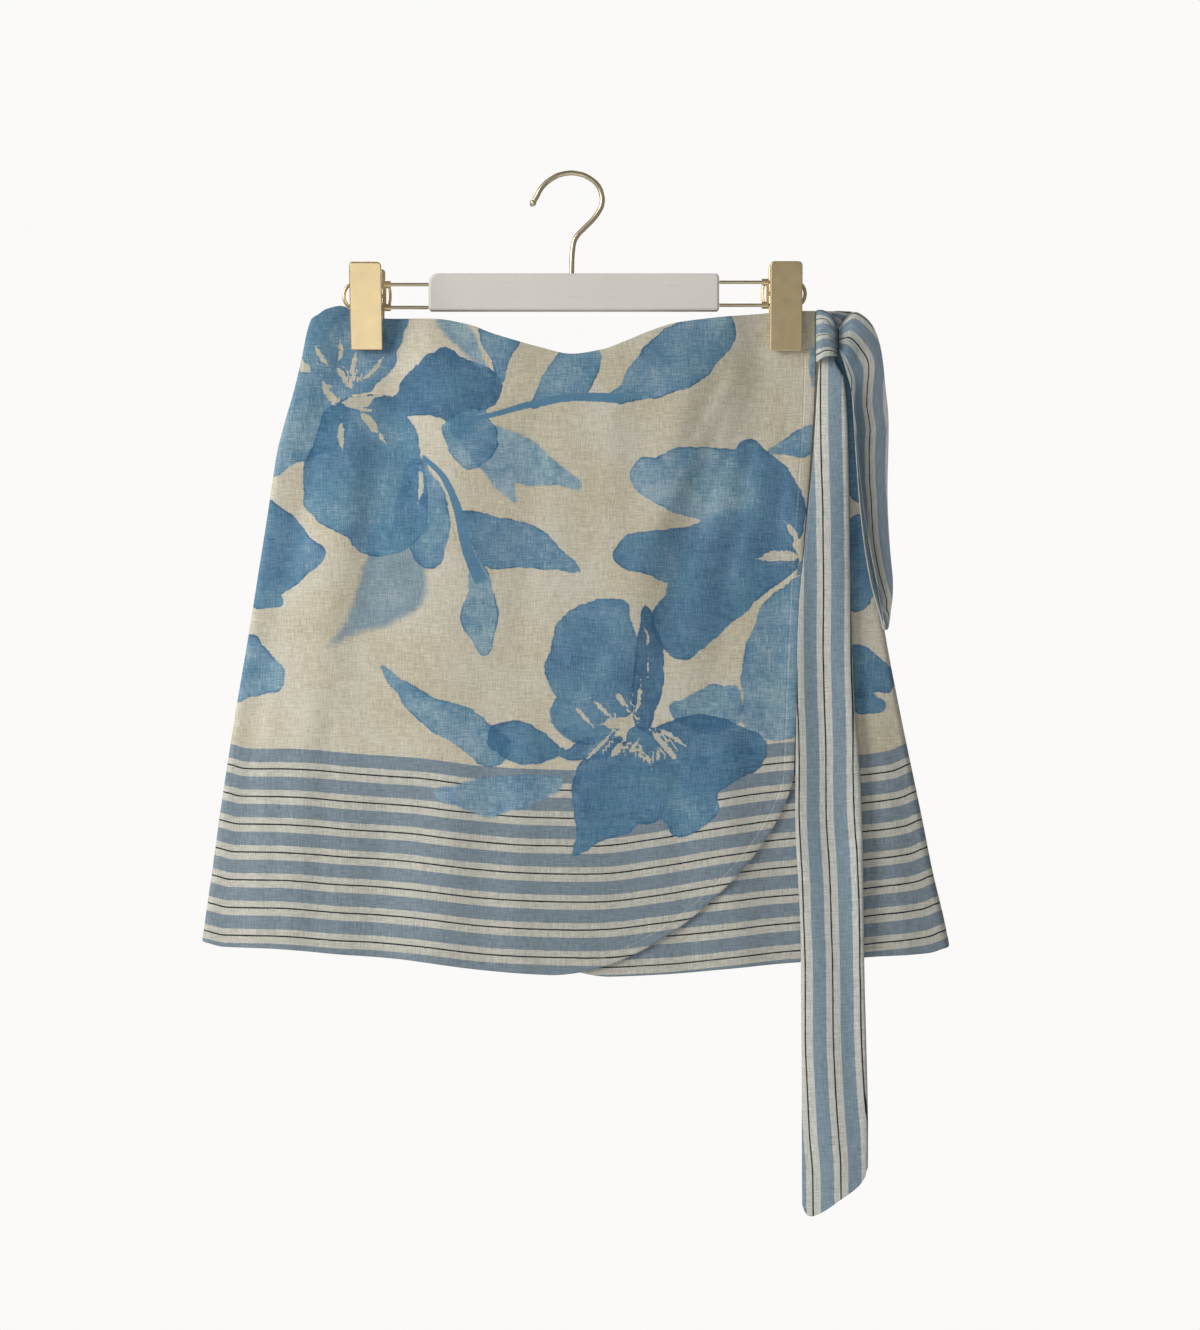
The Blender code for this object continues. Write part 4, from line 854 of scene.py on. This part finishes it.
def striped(g, stripe, place, tone, bands):
    """Cream and blue bands with thin dark lines at a stripe coordinate in millimetres."""
    cream, cream_dark, blue, blue_deep = bands
    shift = (g.noise(g.scaled(place, 0.02, 0.02), 1.0, 1.0) - 0.5) * 1.2
    at = (stripe + shift) % STRIPE_PERIOD + (tone - 0.5) * 1.2
    band = at.step(-0.15, 0.2) * at.step(STRIPE_BLUE + 0.2, STRIPE_BLUE - 0.15)
    blue = g.mix(tone.step(0.34, 0.66), blue_deep, blue)
    cream = g.mix(tone.step(0.36, 0.62), cream_dark, cream)
    line = abs(at - STRIPE_LINE).step(STRIPE_LINE_HALF + 0.14, STRIPE_LINE_HALF - 0.14)
    return g.mix(line * tone.step(0.2, 0.42), g.mix(band, cream, blue), LINE)


def finish_cloth(g, base, tone, height):
    """Puts colour, roughness and thread relief on the shader."""
    darker = g.mix(0.2, base, (0.3, 0.28, 0.24, 1.0), "MULTIPLY")
    return g.finish(
        Base_Color=g.mix(tone.step(0.38, 0.6), darker, base),
        Roughness=tone * 0.12 + 0.84,
        Specular_IOR_Level=0.25,
        Sheen_Weight=0.08,
        Sheen_Roughness=0.5,
        Normal=g.bump(height, 0.6, 0.0005),
    )


def linen_ground(g, place, tone):
    big = g.noise(g.scaled(place, 0.012, 0.012), 1.0, 3.0, 0.6)
    linen = g.mix(big.step(0.38, 0.58), LINEN, LINEN_GREY)
    return g.mix((tone * 0.7 + big * 0.3).step(0.38, 0.6), LINEN_DARK, linen)


def painted(g, place, tone, base):
    """The base colour under its washed blooms, leaves and stems, with strokes of bare cloth at the hearts."""

    def drift(scale, detail, roughness):
        return g.noise(place, scale, detail, roughness) - 0.5

    wander, slow, scallop = drift(0.5, 3.0, 0.6), drift(0.09, 3.0, 0.55), drift(0.2, 1.0, 0.5)
    edge = wander * 1.1 + slow * 4.6 + scallop * 1.3
    wash = drift(0.038, 3.0, 0.6) * 0.85 + drift(0.16, 3.0, 0.65) * 0.25 + (tone - 0.5) * 2.0
    patch = g.noise(place, 0.055, 2.0, 0.5)

    along, aside, half = g.split(g.attribute("heart"))
    taper = along.step(-0.04, 0.3) * along.step(1.04, 0.7)
    frayed = wander * 1.5 + drift(0.38, 2.0, 0.5) * 3.4
    ink = 1.0 - (half * taper - (abs(aside) + frayed)).step(-0.15, 0.25) * 0.9

    covered = 0.0
    for layer in range(LAYERS):
        gap, own, soft = g.split(g.attribute(f"shape{layer}"))
        rough = gap + edge
        cover = rough.step(soft * -0.6, soft * 1.4 + 0.15)
        rim = rough.step(1.9, 0.5) * soft.step(1.6, 0.4) * (patch.step(0.42, 0.6) * 0.34 + 0.05)
        pooled = rough.step(11.0, 1.0) * patch.step(0.5, 0.62) * 0.14
        own = own + wash - rim - (pooled + covered * 0.16)
        dark = g.mix(own.step(-0.1, 0.45), PETAL_DARK, PETAL_MID)
        strength = cover * ink * (0.97 - soft.step(0.9, 3.0) * 0.25)
        covered = g.math("MAXIMUM", covered, strength)
        base = g.mix(strength, base, g.mix(own.step(0.35, 1.0), dark, PETAL_PALE))

    along, aside, half = g.split(g.attribute("stem"))
    ends = along.step(-0.03, 0.01) * along.step(1.03, 0.99)
    stem = (half - (abs(aside) + wander * 1.5)).step(-0.2, 0.3) * ends
    base = g.mix(stem, base, g.mix((wash + 0.46).step(-0.1, 0.45), PETAL_DARK, PETAL_MID))
    green = g.noise(place, 0.03, 2.0, 0.5).step(0.4, 0.62)
    return g.mix(covered * green, base, (0.965, 1.015, 0.975, 1.0), "MULTIPLY")


def printed_linen():
    """Panels: linen with a striped border and the painted print. The cloth attribute holds the place on the
    flat cloth and which side; the border attribute holds the stripe coordinate, the way in from the turned
    edges, and how far along them."""
    g = Graph("printed_linen")
    u, v, behind = g.split(g.attribute("cloth"))
    place = g.flat_place(u, v)
    tone, height = weave(g, place)
    stripe, turned, stitched = g.split(g.attribute("border"))
    border = striped(g, stripe, place, tone, BORDER_BANDS)
    base = g.mix(stripe.step(-0.3, 0.1), linen_ground(g, place, tone), border)
    base = painted(g, place, tone, base)
    base = g.mix(behind, base, g.mix(0.5, base, LINEN))
    fold = abs(turned).step(1.0, 0.1)
    dash = (stitched * (2 * math.pi / STITCH)).sine().step(-0.5, 0.3)
    thread = abs(turned + 1.0).step(0.42, 0.2) * dash
    base = g.mix(thread * 0.22, base, LINEN)
    base = g.mix(fold * 0.06, base, LINEN_DARK)
    return finish_cloth(g, base, tone, height - fold * 0.7 + thread * 0.6)


def striped_linen():
    """The tie: stripes along its length. The strap attribute holds the stripe coordinate, the place along and
    the distance from the nearest edge; a second attribute multiplies the colour with painted shade in the
    hollows of the bow, on the knot and under it, and with painted light on the loop's front."""
    g = Graph("striped_linen")
    across, along, edge = g.split(g.attribute("strap"))
    place = g.flat_place(across, along)
    tone, height = weave(g, place)
    base = striped(g, across, place, tone, TIE_BANDS)
    stitch = abs(edge - 1.6).step(0.45, 0.1)
    base = g.mix(stitch * 0.1, base, TIE_BANDS[1])
    # Painted shade and painted light: the colour is multiplied, darker in the bow's hollows and lighter on
    # the loop's front
    base = g.mix(1.0, base, g.attribute("wear_and_painted_shade"), "MULTIPLY")
    return finish_cloth(g, base, tone, height - stitch * 0.5)


def gold_metal(name, low, high, wear_and_painted_shade, roughness):
    """Pale gold plate: fine brushing along the part, faint handling marks, and darker spots of wear."""
    g = Graph(name)
    place = g.object_place()
    brushed = g.noise(g.scaled(place, 2400.0, 2400.0, 60.0), 1.0, 2.0, 0.6)
    marks = g.noise(place, 90.0, 3.0, 0.6)
    return g.finish(
        Base_Color=g.mix(brushed * 0.3, g.mix(marks, low, high), wear_and_painted_shade),
        Metallic=1.0,
        Roughness=marks * 0.14 + brushed * 0.08 + roughness,
        Normal=g.bump(brushed, 0.12, 0.0001),
    )


def painted_wood():
    """White paint on wood: faint grain along the bar, brush drag, and small yellowed patches and patches of
    wear.
    """
    g = Graph("white_paint")
    place = g.object_place()
    grain = g.noise(g.scaled(place, 26.0, 400.0, 420.0), 1.0, 3.0, 0.6)
    drag = g.noise(g.scaled(place, 9.0, 160.0, 150.0), 1.0, 2.0, 0.5)
    patch = g.noise(place, 24.0, 3.0, 0.6)
    white = g.mix(patch, colour(217, 213, 207), colour(225, 221, 215))
    return g.finish(
        Base_Color=g.mix(grain.step(0.6, 0.75) * 0.25, white, colour(196, 189, 181)),
        Roughness=drag * 0.2 + 0.42,
        Normal=g.bump(grain + drag, 0.16, 0.0004),
    )


def plain_floor():
    g = Graph("studio_floor")
    soft = g.noise(g.object_place(), 3.0, 2.0)
    return g.finish(Base_Color=g.mix(soft, (0.80, 0.79, 0.78, 1.0), (0.84, 0.83, 0.82, 1.0)), Roughness=0.8)


PRINTED = printed_linen()
STRIPED = striped_linen()
GOLD = gold_metal("pale_gold", (0.65, 0.51, 0.28, 1), (0.78, 0.65, 0.41, 1), (0.52, 0.40, 0.21, 1), 0.3)
WIRE = gold_metal("wire_gold", (0.54, 0.45, 0.29, 1), (0.74, 0.65, 0.46, 1), (0.40, 0.32, 0.20, 1), 0.26)
PAINT = painted_wood()


# -------- the panels


def edge_distance(places, line):
    """How far each place is from an open line of points, and how far along the line its nearest point is."""
    edge = np.diff(line, axis=0)
    length = np.linalg.norm(edge, axis=1)
    run = run_length(line)[:-1]
    best, along = np.zeros(len(places)), np.zeros(len(places))
    for start in range(0, len(places), AT_ONCE):
        part = slice(start, start + AT_ONCE)
        away = places[part, None] - line[None, :-1]
        t = np.clip((away * edge).sum(-1) / np.maximum(length**2, 1e-9), 0, 1)
        gap = ((away - t[..., None] * edge) ** 2).sum(-1)
        nearest = gap.argmin(1)
        rows = np.arange(len(nearest))
        best[part] = np.sqrt(gap[rows, nearest])
        along[part] = run[nearest] + t[rows, nearest] * length[nearest]
    return best, along


def corner_rows(straight_rows, corner_count):
    """Down values that crowd towards the hem, where a rounded corner runs out along it."""
    start = 1 - CORNER_HEIGHT / CORNER_DROP
    turn = np.linspace(0, math.pi / 2, corner_count + 1)
    return np.concatenate([np.linspace(0, start, straight_rows), start + (1 - start) * np.sin(turn[1:])])


def thinned(thickness, edge, rim):
    """A wall's thickness at each distance from its edge, where it thins out."""
    start, run = rim
    return thickness * ramp(start + edge / run)


def panel(node, side, rows, down, motifs, move, seed, free_edge=None, raised=False, mirror=False):
    """One skirt panel as a thin closed wall with its print, border and turned edges, from each row's across
    values and its down value."""
    across = np.array(rows)
    down = np.repeat(down[:, None], across.shape[1], axis=1)
    centre, normal = cloth(side, across, down), outward(side, across, down)
    if raised:
        lift = OVERLAP_LIFT * ramp((centre[..., 0] - centre[:, :1, 0]) / LIFT_RUN)
        centre = centre + normal * lift[..., None]
    waist, hem = waist_and_hem(across)
    flat = centre[..., [0, 2]]
    places, z = flat.reshape(-1, 2), flat[..., 1]
    turned, along = edge_distance(places, flat[-1])
    if free_edge is not None:
        side_gap, side_along = edge_distance(places, flat[:, free_edge])
        along = np.where(side_gap < turned, side_along, along)
        turned = np.minimum(turned, side_gap)
    turned = turned.reshape(z.shape)
    doubled = ramp((HEM_TURN + HEM_STEP / 2 - turned) / HEM_STEP)
    thickness = thinned(CLOTH + HEM_EXTRA * doubled, np.minimum(turned, waist - z), CLOTH_EDGE)
    obj = shell(f"cloth_{node}", centre, normal, thickness, PRINTED)
    drawn = places * ((-1, 1) if mirror else (1, 1))
    behind = np.repeat([0.0, 1.0], len(places))
    vector_attribute(obj, "cloth", np.column_stack([np.tile(drawn, (2, 1)), behind]))
    first_band = column_at(table(BORDER_COLUMNS, BORDER[node]), across, "height")
    stripe = first_band - (z - hem)
    vector_attribute(obj, "border", np.column_stack([stripe.ravel(), turned.ravel() - HEM_TURN, along]))
    draw_print(obj, drawn, motifs, move, seed)
    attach(obj, "root")
    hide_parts(node)
    return obj, centre


def over_panel():
    down = corner_rows(120, 70)
    ends = edge_share(WRAP_EDGE, 1, down)
    rows = [np.concatenate([FOLD_TURN, np.linspace(FOLD_SHARE, end, 190)]) for end in ends]
    return panel("over_panel", "front", rows, down, OVER_PRINT, (0.0, 0.0), 100, free_edge=-1, raised=True)


def under_panel():
    down = corner_rows(100, 50)
    starts = edge_share(UNDER_EDGE, -1, down)
    turn = 1 - FOLD_TURN[::-1]
    rows = [np.concatenate([np.linspace(start, 1 - FOLD_SHARE, 150), turn]) for start in starts]
    return panel("under_panel", "front", rows, down, UNDER_PRINT, None, 200, free_edge=0)


def back_print():
    """The back's own arrangement: the same kind of blooms and leaves, moved over."""
    dx, dz = BACK_MOVE
    made = [(x + dx, z + dz, tx + dx, tz + dz, *rest) for x, z, tx, tz, *rest in OVER_PRINT]
    return made + list(BACK_EXTRA)


def back_panel():
    row = np.concatenate([FOLD_TURN, np.linspace(FOLD_SHARE, 1 - FOLD_SHARE, 170), 1 - FOLD_TURN[::-1]])
    down = np.linspace(0, 1, 170)
    return panel("back_panel", "back", [row] * len(down), down, back_print(), BACK_MOVE, 300, mirror=True)


# -------- the tie


def front_y(x, z):
    """The Y of the front's wall centre at (x, z); below the hem it keeps the hem's."""
    across = share_of(x, np.maximum(z, HEM_SIDE))
    waist, hem = waist_and_hem(across)
    return cloth("front", across, np.clip((z - waist) / (hem - waist), 0, 1))[..., 1]


def tail_section(width, turned):
    """Offsets (x, back) across the tail: flat in front, then turned behind at its right edge."""
    radius = TAIL_TURN_RADIUS
    angle = min(math.pi, turned / radius)
    flap = max(0.3, turned - radius * angle)
    flat = width - radius * math.sin(min(angle, math.pi / 2))
    points = [(flat * k / FLAT_STEPS, 0.0) for k in range(FLAT_STEPS + 1)]
    for k in range(1, TAIL_TURN_STEPS + 1):
        a = angle * k / TAIL_TURN_STEPS
        points.append((flat + radius * math.sin(a), radius * (1 - math.cos(a))))
    end = points[-1]
    for k in range(1, FLAP_STEPS + 1):
        out = flap * k / FLAP_STEPS
        points.append((end[0] + out * math.cos(angle), end[1] + out * math.sin(angle)))
    return np.array(points)


def skirt_front(x, z):
    """The Y of the outermost wall's centre at (x, z)."""
    return front_y(x, z) - np.where(x < column_at(WRAP_EDGE, z, "x") + WRAP_STEP, OVERLAP_LIFT, 0.0)


def tail_rest(left, right, z):
    """The Y at the tail's left and right edge, where it leans on the skirt."""
    x = np.linspace(left, right, 9)
    surface = skirt_front(x, np.full(len(x), z)) - TAIL_CLEAR
    surface = surface - 2 * TAIL_TURN_RADIUS * ramp((x - left) / (right - left))
    chord = surface[0] + (surface[-1] - surface[0]) * np.linspace(0, 1, len(x))
    proud = max(0.0, float((chord - surface).max()))
    return surface[0] - proud, surface[-1] - proud


def strap(node, centre, stripe, shade):
    """A piece of the tie, which runs down the grid's rows, with its stripe coordinates and its painted shade,
    which darkens the colour where a place lies in a hollow of the bow and, below 0, lightens it as painted
    light."""
    across, along = run_length(centre, 1), run_length(centre)
    edge = np.minimum(across, across[:, -1:] - across)
    obj = shell(f"cloth_{node}", centre, grid_normals(centre), thinned(TIE_CLOTH, edge, TIE_EDGE), STRIPED)
    vector_attribute(obj, "strap", np.column_stack([stripe.ravel(), along.ravel(), edge.ravel()]))
    # painted shade and painted light, kept as a colour multiplier for each place
    vector_attribute(obj, "wear_and_painted_shade", 1.0 - shade.reshape(-1, 1) * (0.62, 0.58, 0.55))
    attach(obj, "root")
    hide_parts(node)
    return obj, centre


def tie_tail():
    levels = np.concatenate([np.linspace(0, 0.1, 30), np.linspace(0.1, 1, 170)[1:]])
    share = np.arange(FLAT_STEPS + TAIL_TURN_STEPS + FLAP_STEPS + 1) / FLAT_STEPS
    bottom = column_at(TAIL_END, share, "z")
    centre = np.zeros((len(levels), len(share), 3))
    stripe = np.zeros((len(levels), len(share)))
    for i, level in enumerate(levels):
        z = TAIL_TOP + (bottom - TAIL_TOP) * level
        middle = float(z.mean())
        left, right, turned = (float(column_at(TAIL, middle, name)) for name in ("left", "right", "turned"))
        left, right = left + TIE_CLOTH / 2, right - TIE_CLOTH / 2
        offsets = tail_section(right - left, turned)
        x = left + offsets[:, 0]
        y_left, y_right = tail_rest(left, right, middle)
        held = 1 - ramp((TAIL_TOP - TAIL_HOLD[0] - middle) / TAIL_HOLD[1])
        y = y_left + (y_right - y_left) * (x - left) / (right - left)
        sway = TAIL_SWAY * np.sin(x * SWAY_TURNS[0] + middle * SWAY_TURNS[1]) * (1 - held)
        y = (y + sway - TAIL_SWAY) * (1 - held) + TAIL_TOP_Y * held + offsets[:, 1]
        centre[i] = np.stack([x, y, z], axis=1)
        line = float(column_at(TAIL_LINE, middle, "x")) - left
        stripe[i] = run_length(centre[i][:, :2]) - line + STRIPE_LINE
    # Painted shade: the tail is darker under the knot and along its turned right edge
    below_knot = ramp((centre[..., 2] - KNOT_SHADE[0]) / KNOT_SHADE[1])
    shade = np.maximum(below_knot * 0.6, ramp((share[None, :] - 0.93) / 0.07) * 0.3)
    return strap("tie_tail", centre, stripe, shade)


def tie_loop():
    places = np.stack(list(LOOP.values()), axis=1)
    stations = np.arange(len(places), dtype=float)
    fine = np.linspace(0, stations[-1], 8 * (len(stations) - 1) + 1)
    inner, outer = np.hsplit(curve(places, stations, fine), 2)
    share = np.linspace(0, 1, 33)
    centre = inner[:, None] * (1 - share)[None, :, None] + outer[:, None] * share[None, :, None]
    behind = ramp((fine - LOOP_FOOT + 1.0) / 3.0)
    cup = (LOOP_CUP + (LOOP_CUP_BEHIND - LOOP_CUP) * behind) * ramp(np.minimum(fine, fine[-1] - fine) / 3.0)
    bow = 4 * share * (1 - share)
    centre = centre - grid_normals(centre) * (cup[:, None] * bow[None, :])[..., None]

    across = run_length(centre, 1)
    share = across / across[:, -1:]
    turned = column_at(LOOP_STRIPE, share, "stripe")
    from_line = centre[..., 0] - column_at(LOOP_LINE, centre[..., 2], "x")
    hung = from_line * np.where(from_line < 0, LOOP_SQUEEZE_IN, LOOP_SQUEEZE_OUT)
    front = (ramp((fine - 3.2) / 3.0) * ramp((LOOP_FOOT - fine) / 1.5))[:, None]
    stripe = turned * (1 - front) + hung * front + STRIPE_LINE

    # Painted shade in the loop's hollow along its inner edge, under the fold at its top and on the run
    # behind; painted light on the outer half of the front run
    hollow = ramp((0.36 - share) / 0.3) * ramp((LOOP_FOOT - fine) / 3.0)[:, None]
    under_fold = ramp((0.75 - share) / 0.3) * ramp((4.6 - fine) / 1.6)[:, None]
    inside = np.broadcast_to(behind[:, None] * 0.5, share.shape)
    facing = ramp((share - 0.3) / 0.3) * (1 - behind[:, None]) * ramp((fine - 2.0) / 3.0)[:, None]
    shade = np.maximum(np.maximum(hollow, under_fold), inside) * 0.75 - 0.95 * facing
    return strap("tie_loop", centre, stripe, shade)


def tie_knot():
    places = np.stack(list(KNOT.values()), axis=1)
    stations = np.arange(len(places), dtype=float)
    fine = np.linspace(0, stations[-1], 46)
    x, y, top, bottom = curve(places, stations, fine).T
    share = np.linspace(0, 1, 70)
    centre = np.zeros((len(fine), len(share), 3))
    centre[..., 0] = x[:, None]
    centre[..., 1] = y[:, None]
    centre[..., 2] = top[:, None] * (1 - share) + bottom[:, None] * share
    pleat = KNOT_PLEAT_DEPTH * np.cos(2 * math.pi * KNOT_PLEATS * share)
    deep = ramp(fine - KNOT_PLEAT_ROWS[0]) * ramp(KNOT_PLEAT_ROWS[1] - fine)
    centre = centre + grid_normals(centre) * (deep[:, None] * pleat[None, :])[..., None]
    stripe = column_at(KNOT_STRIPE, share, "stripe") + STRIPE_LINE
    # Painted shade over the whole knot, darker towards its right end and along its top edge
    ends = np.maximum(ramp((fine - 4.6) / 1.8)[:, None], ramp((0.1 - share) / 0.1)[None, :] * 0.7)
    return strap("tie_knot", centre, np.tile(stripe, (len(fine), 1)), np.clip(0.3 + ends, 0, 1))


def grid_area(points):
    """A grid's surface in square metres."""
    a, b = points[1:, :-1] - points[:-1, :-1], points[:-1, 1:] - points[:-1, :-1]
    return float(np.linalg.norm(np.cross(a, b), axis=-1).sum()) * MM * MM


def flat_size(points, row):
    """The width of the longest or the middle row, and the length of the middle column, as the columns that
    end at a rounded corner run longer."""
    width = float(row(run_length(points, 1)[:, -1])) * MM
    length = float(np.median(run_length(points)[-1])) * MM
    return width, length


# Each piece with the row that gives its sheet's width: the longest, or the middle one of the tail, whose rows
# slant at its foot and run longer there
SHEETS = (
    (over_panel(), np.max),
    (under_panel(), np.max),
    (back_panel(), np.max),
    (tie_tail(), np.median),
    (tie_loop(), np.max),
    (tie_knot(), np.max),
)
for (piece, points), row in SHEETS:
    width, length = flat_size(points, row)
    grid_area(points)

# -------- the hanger


def tube(name, path, radii, sides, node):
    """A round wire along a path, with closed ends."""
    path = np.asarray(path, float)
    direction = unit(np.gradient(path, axis=0))
    other = np.array((0.0, 1.0, 0.0))
    turn = np.arange(sides) * 2 * math.pi / sides
    vertices = []
    for point, ahead, radius in zip(path, direction, radii):
        ring = np.cos(turn)[:, None] * unit(np.cross(ahead, other)) + np.sin(turn)[:, None] * other
        vertices.append(point + radius * ring)
    faces = []
    for i in range(len(path) - 1):
        for k in range(sides):
            n = (k + 1) % sides
            faces.append((i * sides + k, i * sides + n, (i + 1) * sides + n, (i + 1) * sides + k))
    faces += [tuple(range(sides)), tuple((len(path) - 1) * sides + k for k in range(sides))]
    obj = new_object(name, np.concatenate(vertices), faces, WIRE)
    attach(obj, "root")
    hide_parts(node)


def hook():
    """The question-mark hook, with its small round tip."""
    points = np.stack([HOOK["x"], HOOK["z"]], axis=1)
    run = run_length(points)
    line = curve(points, run, np.linspace(0, run[-1], 170))
    back = unit(line[0] - line[1])
    along, about = (np.linspace(BALL_START, math.pi - left, BALL_STEPS) for left in BALL_LEFT)
    ball = [line[0] + back * (HOOK_BALL * (1 - math.cos(a)) + BALL_GAP) for a in along[::-1]]
    ball_radii = [HOOK_BALL * math.sin(a) for a in about]
    path = np.insert(np.concatenate([ball, line]), 1, 0.0, axis=1)
    tube("wire_hook", path, [*ball_radii, *[HOOK_WIRE] * len(line)], 24, "hanger_hook")


def wire_loop(side):
    """The loop that carries a clip: out of the bar, round its end and back."""
    bar_end, loop_z, loop_end = WIRE_LOOPS[side]
    out = math.copysign(1.0, loop_end)
    reach = LOOP_HALF_HEIGHT * LOOP_END_SHARE
    bend = loop_end - out * reach
    run = np.linspace(bar_end + out * SEAM_GAP, bend, 30)
    path = [(x, 0, loop_z + LOOP_HALF_HEIGHT) for x in run]
    for k in range(1, LOOP_END_STEPS):
        a = math.pi * k / LOOP_END_STEPS
        path.append((bend + out * reach * math.sin(a), 0, loop_z + LOOP_HALF_HEIGHT * math.cos(a)))
    path += [(x, 0, loop_z - LOOP_HALF_HEIGHT) for x in run[::-1]]
    tube(f"wire_loop_{side}", path, [LOOP_WIRE] * len(path), 16, f"hanger_loop_{side}")


hook()
for side in WIRE_LOOPS:
    wire_loop(side)
for name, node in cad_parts.items():
    if name.startswith("clip_") or name == "hanger_bar":
        node.data.materials.clear()
        node.data.materials.append(PAINT if name == "hanger_bar" else GOLD)

# -------- studio

VIEW_MIDDLE = (19.7, -332.9)  # x and z that the camera faces
VIEW_WIDTH = 816.0
CAMERA_AWAY = 2500.0
SENSOR = 36.0
FLOOR_RADIUS, FLOOR_Z = 1.4, -1.05  # in metres, as the lights' places are
SURROUND_LIGHT = 0.22  # how strongly the surroundings light the part
SURROUND_SEEN = 0.965  # and how bright they look

camera_data = bpy.data.cameras.new("camera")
camera_data.sensor_fit = "HORIZONTAL"
camera_data.sensor_width = SENSOR
camera_data.lens = SENSOR * CAMERA_AWAY / VIEW_WIDTH
camera = linked("camera", camera_data)
camera.location = (VIEW_MIDDLE[0] * MM, -CAMERA_AWAY * MM, VIEW_MIDDLE[1] * MM)
camera.rotation_euler = (math.radians(90), 0, 0)
bpy.context.scene.camera = camera


def area_light(name, place, target, size, power, tint):
    data = bpy.data.lights.new(name, "AREA")
    data.shape = "RECTANGLE"
    data.size, data.size_y = size
    data.energy = power
    data.color = tint
    light = linked(name, data)
    light.location = place
    light.rotation_euler = (Vector(target) - Vector(place)).to_track_quat("-Z", "Y").to_euler()


area_light("key", (-2.3, -1.32, 0.65), (0, 0, -0.3), (1.5, 1.5), 74.0, (1.0, 0.99, 0.965))
area_light("fill", (1.6, -2.2, 0.3), (0, 0, -0.35), (1.8, 1.8), 2.5, (0.97, 0.985, 1.0))
area_light("low", (-0.1, -1.5, -1.0), (-0.1, 0, -0.2), (0.9, 0.4), 4.5, (1.0, 0.98, 0.95))
area_light("behind", (0.6, 2.2, 0.9), (0, 0, -0.35), (1.8, 1.8), 26.0, (1.0, 0.99, 0.98))

floor_mesh = bpy.data.meshes.new("floor")
work = bmesh.new()
bmesh.ops.create_circle(work, cap_ends=True, segments=96, radius=FLOOR_RADIUS)
work.to_mesh(floor_mesh)
work.free()
floor_mesh.materials.append(plain_floor())
floor = linked("floor", floor_mesh)
floor.location = (0, 0, FLOOR_Z)

world = bpy.data.worlds.new("studio")
world.use_nodes = True
bpy.context.scene.world = world
world_nodes, world_links = world.node_tree.nodes, world.node_tree.links
background = world_nodes["Background"]
background.inputs["Color"].default_value = (1.0, 0.99, 0.975, 1.0)
seen = world_nodes.new("ShaderNodeLightPath")
level = world_nodes.new("ShaderNodeMix")
level.inputs[2].default_value = SURROUND_LIGHT
level.inputs[3].default_value = SURROUND_SEEN
world_links.new(seen.outputs["Is Camera Ray"], level.inputs[0])
world_links.new(level.outputs[0], background.inputs["Strength"])
bpy.context.scene.view_settings.view_transform = "Standard"
